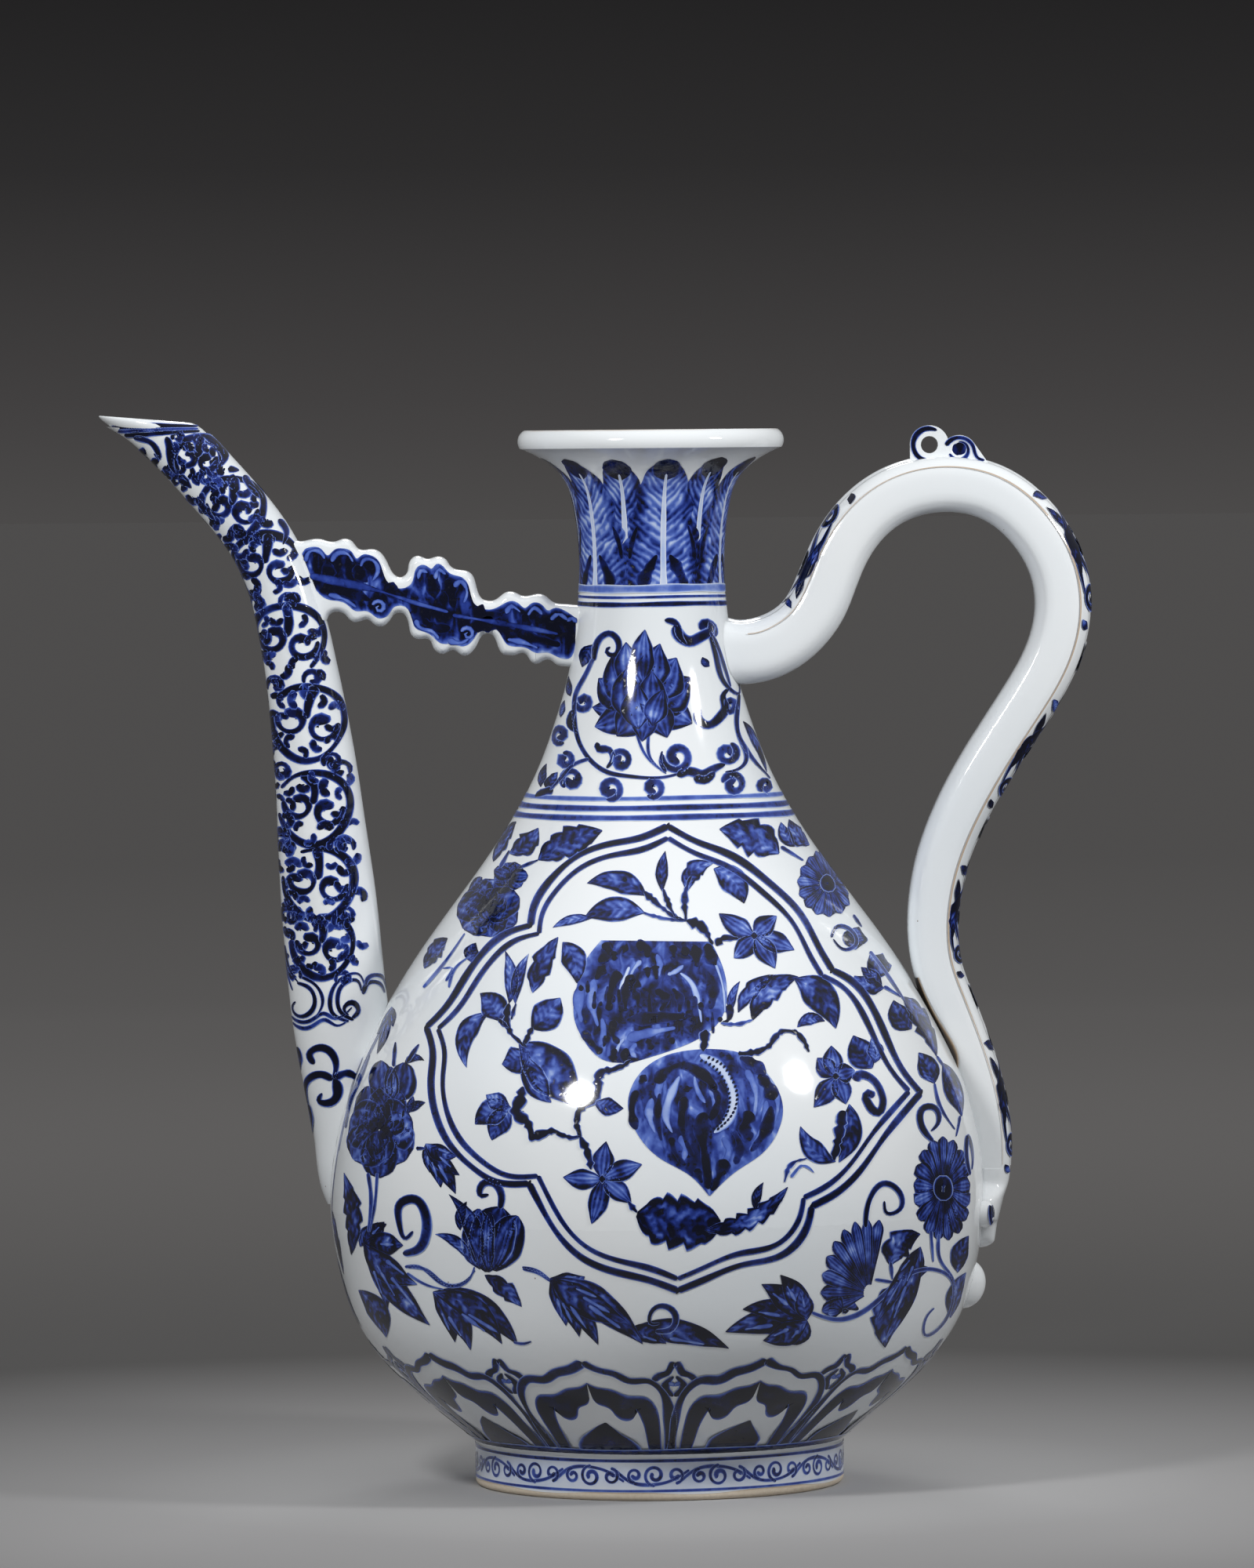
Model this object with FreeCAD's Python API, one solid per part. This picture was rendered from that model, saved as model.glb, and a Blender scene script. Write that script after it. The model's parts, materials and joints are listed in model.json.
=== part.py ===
import FreeCAD, Part
import math
import os

# Pear-shaped porcelain ewer. The pot is thrown in three lifts, the spout is pressed in two
# halves, and handle, strut, loop and ornaments are rolled or cut by hand. All of it is luted
# together with slip, so every piece here meets its neighbour face to face.
# Millimetres. Z is the axis of the pot, the foot stands on Z = 0, +X points to the handle.

V = FreeCAD.Vector
UP = V(0, 0, 1)
ACROSS = V(0, 1, 0)
FULL_TURN = 360
HALVINGS = 40
LINING_STEPS = 12
OVAL_CORNERS = 12
SPOUT_STATIONS = 16
HANDLE_STATIONS = 34
LOOP_TAIL_ANGLE = 35

# Driving dimensions of the thrown pot
rim_level = 295.0
rim_radius = 37.2
lip_height = 5.1
throat_radius = 15.8
neck_radius = 19.9
neck_seat_level = 245.6
collar_height = 4.6
collar_radius = 20.9
belly_radius = 91.7
belly_level = 78.0
wall = 4.5
foot_radius = 51.6
foot_height = 12.0
foot_ring_width = 5.1
foot_edge_round = 1.6
floor_sag = 3.0

# Driving dimensions of the spout, its pour hole and the strut that steadies it
spout_reach = 154.1
spout_tip_level = 300.3
spout_root_depth = 27.6
spout_throat_depth = 18.2
spout_tip_depth = 16.6
spout_wall = 3.5
spout_lip_height = 2.9
spout_lip_swell = 0.5
spout_lip_swing = 1.0
spout_mouth_length = 27.8
spout_mouth_fall = 2.4
pour_hole_radius = 6.5
strut_spout_level = 254.4
strut_neck_drop = 7.9
strut_height = 22.0
strut_thickness = 9.5
strut_edge_round = 1.6

# Driving dimensions of the handle, its cord loop and its lower terminal
handle_reach = 122.6
handle_top_level = 287.2
handle_width = 20.0
handle_root_depth = 19.0
handle_depth = 15.8
handle_tail_depth = 13.0
handle_band = 3.2
loop_hole_radius = 2.4
loop_ring_radius = 5.4
loop_scroll_radius = 5.0
loop_spread = 8.3
loop_thickness = 6.0
loop_dimple_radius = 2.6
loop_dimple_depth = 0.8
terminal_top_level = 88.0
terminal_height = 23.0
terminal_width = 29.0
terminal_rise = 4.4
curl_radius = 3.6
curl_rise = 3.4
curl_eye_radius = 1.3
bud_gap = 3.5
bud_length = 14.0
bud_width = 12.0
bud_rise = 4.2

# One overrun serves every cutting tool
overrun = 5.0


def segment(start, end):
    """Straight edge between two points."""
    return Part.makeLine(start, end)


def arc(start, middle, end):
    """Round edge through three points."""
    return Part.Arc(start, middle, end).toShape()


def smooth_curve(points):
    """Even curve through the points."""
    curve = Part.BSplineCurve()
    curve.interpolate(points)
    return curve


def between(low, high, share):
    """Value that lies a share of the way from low to high."""
    return low + (high - low) * share


def point_at_level(curve, level):
    """Point of a rising curve at a level, found by halving the span that holds it."""
    low = curve.FirstParameter
    high = curve.LastParameter
    for halving in range(HALVINGS):
        middle = (low + high) / 2
        if curve.value(middle).z < level:
            low = middle
        else:
            high = middle
    return curve.value(low)


def turned(edges):
    """Solid that a closed profile sweeps once round the axis of the pot."""
    solid = Part.Face(Part.Wire(edges)).revolve(V(0, 0, 0), UP, FULL_TURN)
    return solid.reversed() if solid.Volume < 0 else solid


def profile_points(shares, low_radius, high_radius, low_level, high_level):
    """Points of a wall profile, each a share of the way out and a share of the way up."""
    points = []
    for out_share, up_share in shares:
        radius = between(low_radius, high_radius, out_share)
        level = between(low_level, high_level, up_share)
        points.append(V(radius, 0, level))
    return points


def inner_face(outer_curve, low_wall, high_wall, last_point, first_point=None):
    """Curve inside a wall profile, at a depth that eases from one wall to another."""
    first = outer_curve.FirstParameter
    last = outer_curve.LastParameter
    points = []
    for step in range(LINING_STEPS + 1):
        share = step / LINING_STEPS
        parameter = between(first, last, share)
        heading = outer_curve.tangent(parameter)[0]
        inward = V(-heading.z, 0, heading.x)
        points.append(outer_curve.value(parameter) + inward * between(low_wall, high_wall, share))
    points[-1] = last_point
    if first_point is not None:
        points[0] = first_point
    return smooth_curve(points)


# Wall profiles of the pot, from the foot up to the collar under the neck
bowl_shares = [(0, 0), (0.085, 0.061), (0.232, 0.127), (0.434, 0.227), (0.638, 0.356),
               (0.825, 0.526), (0.933, 0.727), (1, 1)]
shoulder_shares = [(1, 0), (0.984, 0.101), (0.922, 0.206), (0.805, 0.31), (0.655, 0.415),
                   (0.475, 0.52), (0.299, 0.625), (0.164, 0.729), (0.093, 0.808),
                   (0.04, 0.886), (0.015, 0.945), (0, 1)]
bowl_points = profile_points(bowl_shares, foot_radius, belly_radius, foot_height, belly_level)
shoulder_points = profile_points(shoulder_shares, collar_radius, belly_radius, belly_level,
                                 neck_seat_level)
bowl_outline = smooth_curve(bowl_points + shoulder_points[1:])
shoulder_outline = bowl_outline.copy()
belly_parameter = bowl_outline.parameter(bowl_points[-1])
bowl_outline.segment(bowl_outline.FirstParameter, belly_parameter)
shoulder_outline.segment(belly_parameter, shoulder_outline.LastParameter)
seam_outside = V(belly_radius, 0, belly_level)
seam_inside = V(belly_radius - wall, 0, belly_level)
collar_inside = V(throat_radius, 0, neck_seat_level)
collar_outside = V(collar_radius, 0, neck_seat_level)
bowl_lining = inner_face(bowl_outline, wall, wall, seam_inside)
shoulder_lining = inner_face(shoulder_outline, wall, collar_radius - throat_radius,
                             collar_inside, seam_inside)


def make_foot_ring():
    """Turned foot ring, rounded where it stands, left bare of glaze on its lower edge."""
    inner_radius = foot_radius - foot_ring_width
    slant = math.sqrt(0.5) * foot_edge_round
    outer_low = V(foot_radius - foot_edge_round, 0, 0)
    outer_high = V(foot_radius, 0, foot_edge_round)
    outer_middle = V(foot_radius - foot_edge_round + slant, 0, foot_edge_round - slant)
    inner_low = V(inner_radius + foot_edge_round, 0, 0)
    inner_high = V(inner_radius, 0, foot_edge_round)
    inner_middle = V(inner_radius + foot_edge_round - slant, 0, foot_edge_round - slant)
    outer_top = V(foot_radius, 0, foot_height)
    inner_top = V(inner_radius, 0, foot_height)
    return turned([
        segment(inner_low, outer_low),
        arc(outer_low, outer_middle, outer_high),
        segment(outer_high, outer_top),
        segment(outer_top, inner_top),
        segment(inner_top, inner_high),
        arc(inner_high, inner_middle, inner_low),
    ])


def make_lower_body():
    """Thrown bowl with its floor, from the foot ring up to the seam at the widest girth."""
    foot_seat = V(foot_radius, 0, foot_height)
    ring_inside = V(foot_radius - foot_ring_width, 0, foot_height)
    floor_low = V(0, 0, foot_height - floor_sag)
    sag_middle_share = 0.5
    sag_depth_share = 0.75
    floor_middle = V(ring_inside.x * sag_middle_share, 0, foot_height - floor_sag * sag_depth_share)
    floor_edge = bowl_lining.value(bowl_lining.FirstParameter)
    floor_top = V(0, 0, foot_height + wall)
    return turned([
        bowl_outline.toShape(),
        segment(seam_outside, seam_inside),
        bowl_lining.toShape(),
        segment(floor_edge, floor_top),
        segment(floor_top, floor_low),
        arc(floor_low, floor_middle, ring_inside),
        segment(ring_inside, foot_seat),
    ])


def make_upper_body():
    """Thrown shoulder, luted to the bowl at the girth and bored for the spout."""
    pour_hole_level = between(belly_level, spout_tip_level, pour_hole_share)
    shell = turned([
        shoulder_outline.toShape(),
        segment(collar_outside, collar_inside),
        shoulder_lining.toShape(),
        segment(seam_inside, seam_outside),
    ])
    hole_start = V(-belly_radius - overrun, 0, pour_hole_level)
    pour_hole = Part.makeCylinder(pour_hole_radius, belly_radius, hole_start, V(1, 0, 0))
    return shell.cut(pour_hole)


# The pour hole sits where the spout's middle line meets the wall
pour_hole_share = 0.175

# Profile of the neck: a collar at its foot, a slow flare, then a wide dish with a thick lip
neck_shares = [(0, 0), (0.02, 0.27), (0.11, 0.61), (0.24, 0.77), (0.5, 0.89), (0.97, 1)]
dish_shares = [(0.9, 1), (0.62, 0.83), (0.3, 0.55), (0.09, 0.22), (0, 0)]
dish_depth_share = 0.56


def make_neck():
    """Thrown neck with its collar, its straight throat and its dished mouth."""
    collar_top = neck_seat_level + collar_height
    lip_low = rim_level - lip_height
    neck_points = profile_points(neck_shares, neck_radius, rim_radius, collar_top, lip_low)
    neck_outline = smooth_curve(neck_points)
    throat_top = rim_level - (rim_level - collar_top) * dish_depth_share
    dish_points = profile_points(dish_shares, throat_radius, rim_radius, throat_top, rim_level)
    dish_outline = smooth_curve(dish_points)
    lip_round_share = 0.35
    lip_corner = V(rim_radius - lip_height * lip_round_share, 0, rim_level)
    lip_middle = V(rim_radius, 0, rim_level - lip_height / 2)
    collar_top_outer = V((neck_radius + collar_radius) / 2, 0, collar_top)
    return turned([
        segment(collar_inside, collar_outside),
        segment(collar_outside, collar_top_outer),
        segment(collar_top_outer, neck_points[0]),
        neck_outline.toShape(),
        arc(neck_points[-1], lip_middle, lip_corner),
        segment(lip_corner, dish_points[0]),
        dish_outline.toShape(),
        segment(dish_points[-1], collar_inside),
    ])


def make_pot_plug():
    """The pot without its hollow: what every luted piece is cut back to."""
    foot_seat = V(foot_radius, 0, foot_height)
    bowl = turned([
        segment(V(0, 0, foot_height), foot_seat),
        bowl_outline.toShape(),
        segment(seam_outside, V(0, 0, belly_level)),
        segment(V(0, 0, belly_level), V(0, 0, foot_height)),
    ])
    shoulder = turned([
        segment(V(0, 0, belly_level), seam_outside),
        shoulder_outline.toShape(),
        segment(collar_outside, V(0, 0, neck_seat_level)),
        segment(V(0, 0, neck_seat_level), V(0, 0, belly_level)),
    ])
    return [bowl, shoulder]


def cut_back(shape, tools):
    """Shape with each tool taken off in turn."""
    for tool in tools:
        shape = shape.cut(tool)
    return shape


def closed_oval(center, long_way, short_way):
    """Closed smooth oval round a center, from its two half axes."""
    points = []
    for corner in range(OVAL_CORNERS):
        angle = 2 * math.pi * corner / OVAL_CORNERS
        points.append(center + long_way * math.cos(angle) + short_way * math.sin(angle))
    curve = Part.BSplineCurve()
    curve.interpolate(Points=points, PeriodicFlag=True)
    return Part.Wire(curve.toShape())


def oval_across(center, heading, depth, width):
    """Closed oval square to a path in the XZ plane: its depth in that plane, its width across."""
    return closed_oval(center, ACROSS.cross(heading) * (depth / 2), ACROSS * (width / 2))


def graded(share, grades):
    """Size at a share of the way along, read between hand-set (share, size) pairs."""
    for (low_share, low_size), (high_share, high_size) in zip(grades, grades[1:]):
        if share <= high_share:
            return between(low_size, high_size, (share - low_share) / (high_share - low_share))
    return grades[-1][1]


def stations(path, first_share, last_share, count):
    """Places spaced evenly along a path: the share, the point and the heading of each."""
    places = []
    length = path.length()
    for step in range(count):
        share = between(first_share, last_share, step / (count - 1))
        parameter = path.parameterAtDistance(length * share, path.FirstParameter)
        places.append((share, path.value(parameter), path.tangent(parameter)[0]))
    return places


# Path of the spout, from its root on the belly to past its mouth: shares out and up
spout_path_shares = [(-0.202, 0.018), (-0.161, 0.074), (-0.111, 0.152), (-0.061, 0.229),
                     (-0.035, 0.292), (-0.015, 0.36), (0.01, 0.438), (0.04, 0.537),
                     (0.084, 0.638), (0.134, 0.721), (0.19, 0.783), (0.308, 0.851),
                     (0.501, 0.917), (0.654, 0.964), (0.8, 1.0), (1.03, 1.054)]
spout_path_points = []
for out_share, up_share in spout_path_shares:
    spout_x = -between(belly_radius, spout_reach, out_share)
    spout_z = between(belly_level, spout_tip_level, up_share)
    spout_path_points.append(V(spout_x, 0, spout_z))
spout_path = smooth_curve(spout_path_points)
spout_low_share = 0.98
spout_bend_share = 1.12
spout_grades = [(0, spout_root_depth), (0.32, spout_root_depth * spout_low_share),
                (0.58, spout_throat_depth * spout_bend_share), (0.72, spout_throat_depth),
                (1, spout_tip_depth)]
spout_flatness_share = 0.95
spout_passage_start_share = 0.1


def spout_tube(grow, first_share):
    """Tapering tube along the spout's path, grown or shrunk all round."""
    wires = []
    for share, center, heading in stations(spout_path, first_share, 1, SPOUT_STATIONS):
        depth = graded(share, spout_grades)
        width = depth * spout_flatness_share
        wires.append(oval_across(center, heading, depth + 2 * grow, width + 2 * grow))
    return Part.makeLoft(wires, True, False)


mouth_tilt = math.degrees(math.atan2(spout_mouth_fall, spout_mouth_length))
mouth_center = V(spout_mouth_length / 2 - spout_reach - spout_lip_swing, 0,
                 spout_tip_level - spout_mouth_fall / 2)
mouth_heading = spout_path.tangent(spout_path.parameter(mouth_center))[0]


def above_mouth(drop):
    """Block that stands on a plane a little below the plane of the spout's mouth."""
    size = spout_reach
    block = Part.makeBox(size, size, size)
    block.translate(mouth_center + V(-size / 2, -size / 2, -drop))
    block.rotate(mouth_center, ACROSS, mouth_tilt)
    return block


def mouth_oval(drop, inset):
    """Closed oval level with the spout's mouth, a drop below it and drawn in by an inset."""
    lean = math.radians(mouth_tilt)
    square_way = V(math.sin(lean), 0, math.cos(lean))
    center = mouth_center - mouth_heading * (drop / mouth_heading.dot(square_way))
    long_way = V(math.cos(lean), 0, -math.sin(lean)) * (spout_mouth_length / 2 - inset)
    short_way = ACROSS * (spout_tip_depth * spout_flatness_share / 2 + spout_lip_swell - inset)
    return closed_oval(center, long_way, short_way)


def make_spout(plug):
    """Pressed spout: a curved tube with a rolled lip, cut to sit on the belly."""
    tube = spout_tube(0, 0).cut(above_mouth(spout_lip_height))
    lip_shares = [(1, 0.8), (0.75, 0.2), (0.5, 0), (0.25, 0.3), (0.08, 1), (0, 2)]
    ovals = []
    for drop_share, inset_share in lip_shares:
        ovals.append(mouth_oval(spout_lip_height * drop_share, spout_lip_swell * inset_share))
    lip = Part.makeLoft(ovals, True, False)
    passage = spout_tube(-spout_wall, spout_passage_start_share)
    return cut_back(tube.fuse(lip).cut(passage), plug)


def make_spout_halves(spout):
    """Front and back halves of the spout, parted along the plane through handle and spout."""
    size = spout_tip_level + overrun
    front_block = Part.makeBox(size, size, size, V(-size, -size, 0))
    back_block = Part.makeBox(size, size, size, V(-size, 0, 0))
    return spout.common(front_block), spout.common(back_block)


# Outline of the strut: shares along it and shares of its height above or below its middle line.
# A share under 0 or over 1 stands for an end that is buried in the spout or in the neck.
strut_top_shares = [(-0.08, 0.62), (0.02, 0.51), (0.08, 0.57), (0.12, 0.56), (0.18, 0.64), (0.24, 0.54),
                    (0.29, 0.56), (0.35, 0.32), (0.38, 0.28), (0.41, 0.36), (0.44, 0.61), (0.47, 0.6),
                    (0.51, 0.66), (0.56, 0.53), (0.62, 0.52), (0.65, 0.31), (0.69, 0.22), (0.73, 0.28),
                    (0.77, 0.39), (0.82, 0.38), (0.87, 0.44), (0.92, 0.38), (1.06, 0.43)]
strut_low_shares = [(-0.08, -0.36), (0.12, -0.36), (0.16, -0.31), (0.22, -0.39), (0.26, -0.34),
                    (0.3, -0.4), (0.34, -0.28), (0.38, -0.17), (0.41, -0.28), (0.43, -0.42),
                    (0.47, -0.42), (0.51, -0.56), (0.56, -0.52), (0.61, -0.54), (0.65, -0.34),
                    (0.68, -0.16), (0.72, -0.28), (0.76, -0.42), (0.82, -0.41), (0.86, -0.47),
                    (0.9, -0.41), (0.94, -0.45), (1.06, -0.4)]


strut_start_share = 0.25
strut_spout_bury_share = 0.35
strut_neck_bury_share = 0.6
strut_spout_end = point_at_level(spout_path, strut_spout_level)
strut_spout_end += V(spout_throat_depth * strut_start_share, 0, 0)
strut_neck_end = V(-collar_radius, 0, neck_seat_level - strut_neck_drop)
strut_run = strut_neck_end - strut_spout_end
strut_heading = strut_run / strut_run.Length


def strut_outline(inset, y):
    """Closed outline of the strut in the plane of a given y, drawn in all round by an inset."""

    def middle_at(along_share):
        if along_share < 0:
            bury = spout_throat_depth * strut_spout_bury_share
            return strut_spout_end - strut_heading * bury
        if along_share > 1:
            bury = (collar_radius - throat_radius) * strut_neck_bury_share
            return strut_neck_end + strut_heading * bury
        return strut_spout_end + strut_run * along_share

    def drawn_in(shares, side):
        points = []
        for along_share, height_share in shares:
            middle = middle_at(along_share)
            points.append(V(middle.x, y, middle.z + strut_height * height_share))
        edge = smooth_curve(points)
        inner_points = []
        for point in points:
            heading = edge.tangent(edge.parameter(point))[0]
            inner_points.append(point + V(heading.z, 0, -heading.x) * (inset * side))
        return inner_points

    top_points = drawn_in(strut_top_shares, 1)
    low_points = drawn_in(strut_low_shares, -1)
    return Part.Wire([
        smooth_curve(top_points).toShape(),
        segment(top_points[-1], low_points[-1]),
        smooth_curve(list(reversed(low_points))).toShape(),
        segment(low_points[0], top_points[0]),
    ])


def make_strut(spout_outside, plug):
    """Cloud-edged strut between neck and spout: a slab whose edges are rounded by sponging."""
    half = strut_thickness / 2
    outlines = []
    for side in (-1, 1):
        layers = []
        for turn in (0, 45, 90):
            inset = strut_edge_round * (1 - math.sin(math.radians(turn)))
            sunk = strut_edge_round * (1 - math.cos(math.radians(turn)))
            layers.append(strut_outline(inset, side * (half - sunk)))
        outlines += layers if side < 0 else reversed(layers)
    slab = Part.makeLoft(outlines, True, True)
    return cut_back(slab, [spout_outside] + plug)


# Path of the handle, from inside the neck over the top and down into the belly
handle_path_shares = [(-0.1, 0.739), (0.005, 0.739), (0.082, 0.74), (0.156, 0.754), (0.221, 0.78),
                      (0.269, 0.822), (0.309, 0.868), (0.357, 0.905), (0.45, 0.943), (0.602, 0.961),
                      (0.737, 0.947), (0.853, 0.899), (0.912, 0.842), (0.92, 0.779), (0.884, 0.721),
                      (0.8361, 0.664), (0.7596, 0.591), (0.6956, 0.521), (0.6577, 0.455), (0.6522, 0.382),
                      (0.6797, 0.324), (0.7485, 0.266), (0.8293, 0.208), (0.8964, 0.156), (0.9446, 0.109),
                      (0.9781, 0.056), (1.0055, 0.0)]
full_reach_share = 0.721
handle_path_points = []
for out_share, up_share in handle_path_shares:
    # the tail keeps to the belly, and the reach eases from the belly's radius to the handle's own
    reach_here = between(belly_radius, handle_reach, min(1, up_share / full_reach_share))
    handle_x = between(collar_radius, reach_here, out_share)
    handle_z = between(belly_level, handle_top_level, up_share)
    handle_path_points.append(V(handle_x, 0, handle_z))
handle_path = smooth_curve(handle_path_points)
handle_swell_share = 1.04
handle_bend_share = 0.96
handle_grades = [(0, handle_root_depth), (0.1, handle_depth * handle_swell_share), (0.2, handle_depth),
                 (0.62, handle_depth * handle_bend_share),
                 (0.8, handle_tail_depth * handle_swell_share), (1, handle_tail_depth)]
handle_places = stations(handle_path, 0, 1, HANDLE_STATIONS)


def handle_section(center, heading, depth):
    """Closed section of the handle: round on the grip side, gently domed on the outside."""
    inward = ACROSS.cross(heading)
    half_width_shares = [(-0.5, 0), (-0.47, 0.62), (-0.3, 0.92), (0, 1), (0.3, 0.96), (0.44, 0.72), (0.5, 0)]
    right = []
    for depth_share, width_share in half_width_shares:
        place = center + inward * (depth * depth_share)
        right.append((place, handle_width / 2 * width_share))
    points = [place + ACROSS * half for place, half in right]
    points += [place - ACROSS * half for place, half in reversed(right[1:-1])]
    curve = Part.BSplineCurve()
    curve.interpolate(Points=points, PeriodicFlag=True)
    return Part.Wire(curve.toShape())


def make_handle(plug):
    """Whole handle, cut back to the pot above and levelled where the terminal begins."""
    wires = []
    for share, center, heading in handle_places:
        wires.append(handle_section(center, heading, graded(share, handle_grades)))
    whole = Part.makeLoft(wires, True, False)
    below = Part.makeBox(handle_reach, handle_reach, terminal_top_level,
                         V(0, -handle_reach / 2, 0))
    return cut_back(whole, plug + [below])


def make_grip_space():
    """Space on the grip side of the seam that parts the handle's grip from its outer band."""
    wires = []
    for share, center, heading in handle_places:
        inward = ACROSS.cross(heading)
        depth = graded(share, handle_grades)
        seam = center - inward * (depth / 2 - handle_band)
        inner = center + inward * (depth / 2 + overrun / 2)
        side = ACROSS * handle_width
        wires.append(Part.makePolygon([seam - side, seam + side, inner + side, inner - side,
                                       seam - side]))
    return Part.makeLoft(wires, True, False)


def make_cord_loop(handle):
    """Pierced two-lobed loop on top of the handle, for the cord that once held a lid."""
    half = loop_thickness / 2
    loop_share = 0.56
    ring_rise_share = 1.2
    loop_foot_share = 2.4
    dimple_sink_share = 1.4
    loop_x = between(collar_radius, handle_reach, loop_share)
    ring = V(loop_x, -half, handle_top_level + loop_hole_radius * ring_rise_share)
    scroll = ring + V(loop_spread, 0, -loop_hole_radius)
    apart = scroll - ring
    reach_share = 0.5 + (loop_ring_radius ** 2 - loop_scroll_radius ** 2) / (2 * apart.Length ** 2)
    notch_height = math.sqrt(loop_ring_radius ** 2 - (apart.Length * reach_share) ** 2)
    upward = apart.cross(ACROSS).normalize()
    notch = ring + apart * reach_share + upward * notch_height
    tail_turn = math.radians(LOOP_TAIL_ANGLE)
    tail = scroll + V(math.cos(tail_turn), 0, math.sin(tail_turn)) * loop_scroll_radius
    foot_level = handle_top_level - handle_depth / 2
    left = ring - V(loop_ring_radius, 0, 0)
    left_foot = V(left.x, -half, foot_level)
    right_foot = V(scroll.x + loop_scroll_radius * loop_foot_share, -half, foot_level)
    outline = Part.Wire([
        segment(left_foot, left),
        arc(left, ring + UP * loop_ring_radius, notch),
        arc(notch, scroll + UP * loop_scroll_radius, tail),
        segment(tail, right_foot),
        segment(right_foot, left_foot),
    ])
    tab = Part.Face(outline).extrude(ACROSS * loop_thickness)
    hole_length = loop_thickness + 2 * overrun
    hole = Part.makeCylinder(loop_hole_radius, hole_length, ring - ACROSS * overrun, ACROSS)
    ball_radius = (loop_dimple_radius ** 2 + loop_dimple_depth ** 2) / (2 * loop_dimple_depth)
    tools = [handle, hole]
    for side in (-1, 1):
        ball_center = V(scroll.x, side * (half + ball_radius - loop_dimple_depth),
                        scroll.z + loop_scroll_radius - loop_dimple_radius * dimple_sink_share)
        tools.append(Part.makeSphere(ball_radius, ball_center))
    return cut_back(tab, tools)


# Outline of the terminal, seen from outside: shares of its half width and of its height
terminal_shares = [(0.66, 1), (0.7, 0.82), (0.98, 0.66), (0.98, 0.4), (0.62, 0.32), (0.4, 0.12), (0, 0)]


def wall_radius_at(level):
    """Radius of the bowl's outside at a level."""
    return point_at_level(bowl_outline, level).x


def make_terminal(plug):
    """Cloud-shaped tongue that ends the handle on the belly."""
    low_level = terminal_top_level - terminal_height
    right = []
    for side_share, up_share in terminal_shares:
        right.append(V(0, terminal_width / 2 * side_share, low_level + terminal_height * up_share))
    left = [V(0, -point.y, point.z) for point in reversed(right)]
    outline = Part.Wire([
        smooth_curve(right).toShape(),
        smooth_curve(left).toShape(),
        segment(left[-1], right[0]),
    ])
    column = Part.Face(outline).extrude(V(belly_radius + handle_depth, 0, 0))
    low_radius = wall_radius_at(low_level) + terminal_rise
    top_rise_share = 1.5
    bulge_share = 0.62
    top_radius = belly_radius + terminal_rise * top_rise_share
    middle_radius = between(low_radius, top_radius, bulge_share)
    middle_level = (low_level + terminal_top_level) / 2
    skin = turned([
        segment(V(0, 0, low_level), V(low_radius, 0, low_level)),
        arc(V(low_radius, 0, low_level), V(middle_radius, 0, middle_level),
            V(top_radius, 0, terminal_top_level)),
        segment(V(top_radius, 0, terminal_top_level), V(0, 0, terminal_top_level)),
        segment(V(0, 0, terminal_top_level), V(0, 0, low_level)),
    ])
    return cut_back(column.common(skin), plug)


def make_curl(side, terminal, plug):
    """Rolled curl beside the terminal: a low dome with a hollow eye, square to the wall."""
    curl_drop_share = 0.54
    curl_apart_share = 0.1
    crown_share = 0.45
    slope_share = 0.85
    slope_radius_share = 0.6
    level = terminal_top_level - terminal_height * curl_drop_share
    radius_here = wall_radius_at(level)
    away = terminal_width / 2 + curl_radius * curl_apart_share
    angle = side * math.degrees(math.asin(away / radius_here))
    crown = curl_rise * crown_share
    base = V(radius_here - curl_rise, 0, level)
    edge = base + V(curl_rise * 2 - crown, 0, 0)
    outward = V(1, 0, 0)
    slope = edge + outward * (crown * slope_share) + UP * (curl_radius * slope_radius_share)
    dome = Part.Face(Part.Wire([
        segment(base, base + UP * curl_radius),
        segment(base + UP * curl_radius, edge + UP * curl_radius),
        arc(edge + UP * curl_radius, slope, edge + outward * crown),
        segment(edge + outward * crown, base),
    ])).revolve(base, outward, FULL_TURN)
    eye = Part.makeSphere(curl_eye_radius, edge + outward * crown)
    curl = dome.cut(eye)
    curl.rotate(V(0, 0, 0), UP, angle)
    return cut_back(curl, [terminal] + plug)


def make_bud(plug):
    """Small bud pressed on the wall under the terminal."""
    bud_level = terminal_top_level - terminal_height - bud_gap - bud_length / 2
    radius_here = wall_radius_at(bud_level)
    center = V(radius_here + bud_rise - bud_width / 2, 0, bud_level)
    tip = center + UP * (bud_length / 2)
    tail = center - UP * (bud_length / 2)
    full = center + V(bud_width / 2, 0, 0)
    half_arc = Part.Arc(Part.Ellipse(tip, full, center), math.pi, 2 * math.pi).toShape()
    bud = Part.Face(Part.Wire([half_arc, segment(tip, tail)])).revolve(center, UP, FULL_TURN)
    lean = math.degrees(math.atan2(wall_radius_at(bud_level + bud_length / 2) - radius_here,
                                   bud_length / 2))
    bud.rotate(V(radius_here, 0, bud_level), ACROSS, lean)
    return cut_back(bud, plug)


plug = make_pot_plug()
neck = make_neck()
spout = make_spout(plug)
spout_front, spout_back = make_spout_halves(spout)
handle = make_handle(plug)
grip_space = make_grip_space()
terminal = make_terminal(plug)

pieces = {
    "foot_ring": make_foot_ring(),
    "lower_body": make_lower_body(),
    "upper_body": make_upper_body(),
    "neck": neck,
    "spout_front_half": spout_front,
    "spout_back_half": spout_back,
    "spout_strut": make_strut(spout_tube(0, 0), plug + [neck]),
    "handle_grip": handle.common(grip_space),
    "handle_back": handle.cut(grip_space),
    "cord_loop": make_cord_loop(handle),
    "handle_terminal": terminal,
    "terminal_curl_front": make_curl(-1, terminal, plug),
    "terminal_curl_back": make_curl(1, terminal, plug),
    "terminal_bud": make_bud(plug),
}

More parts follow.
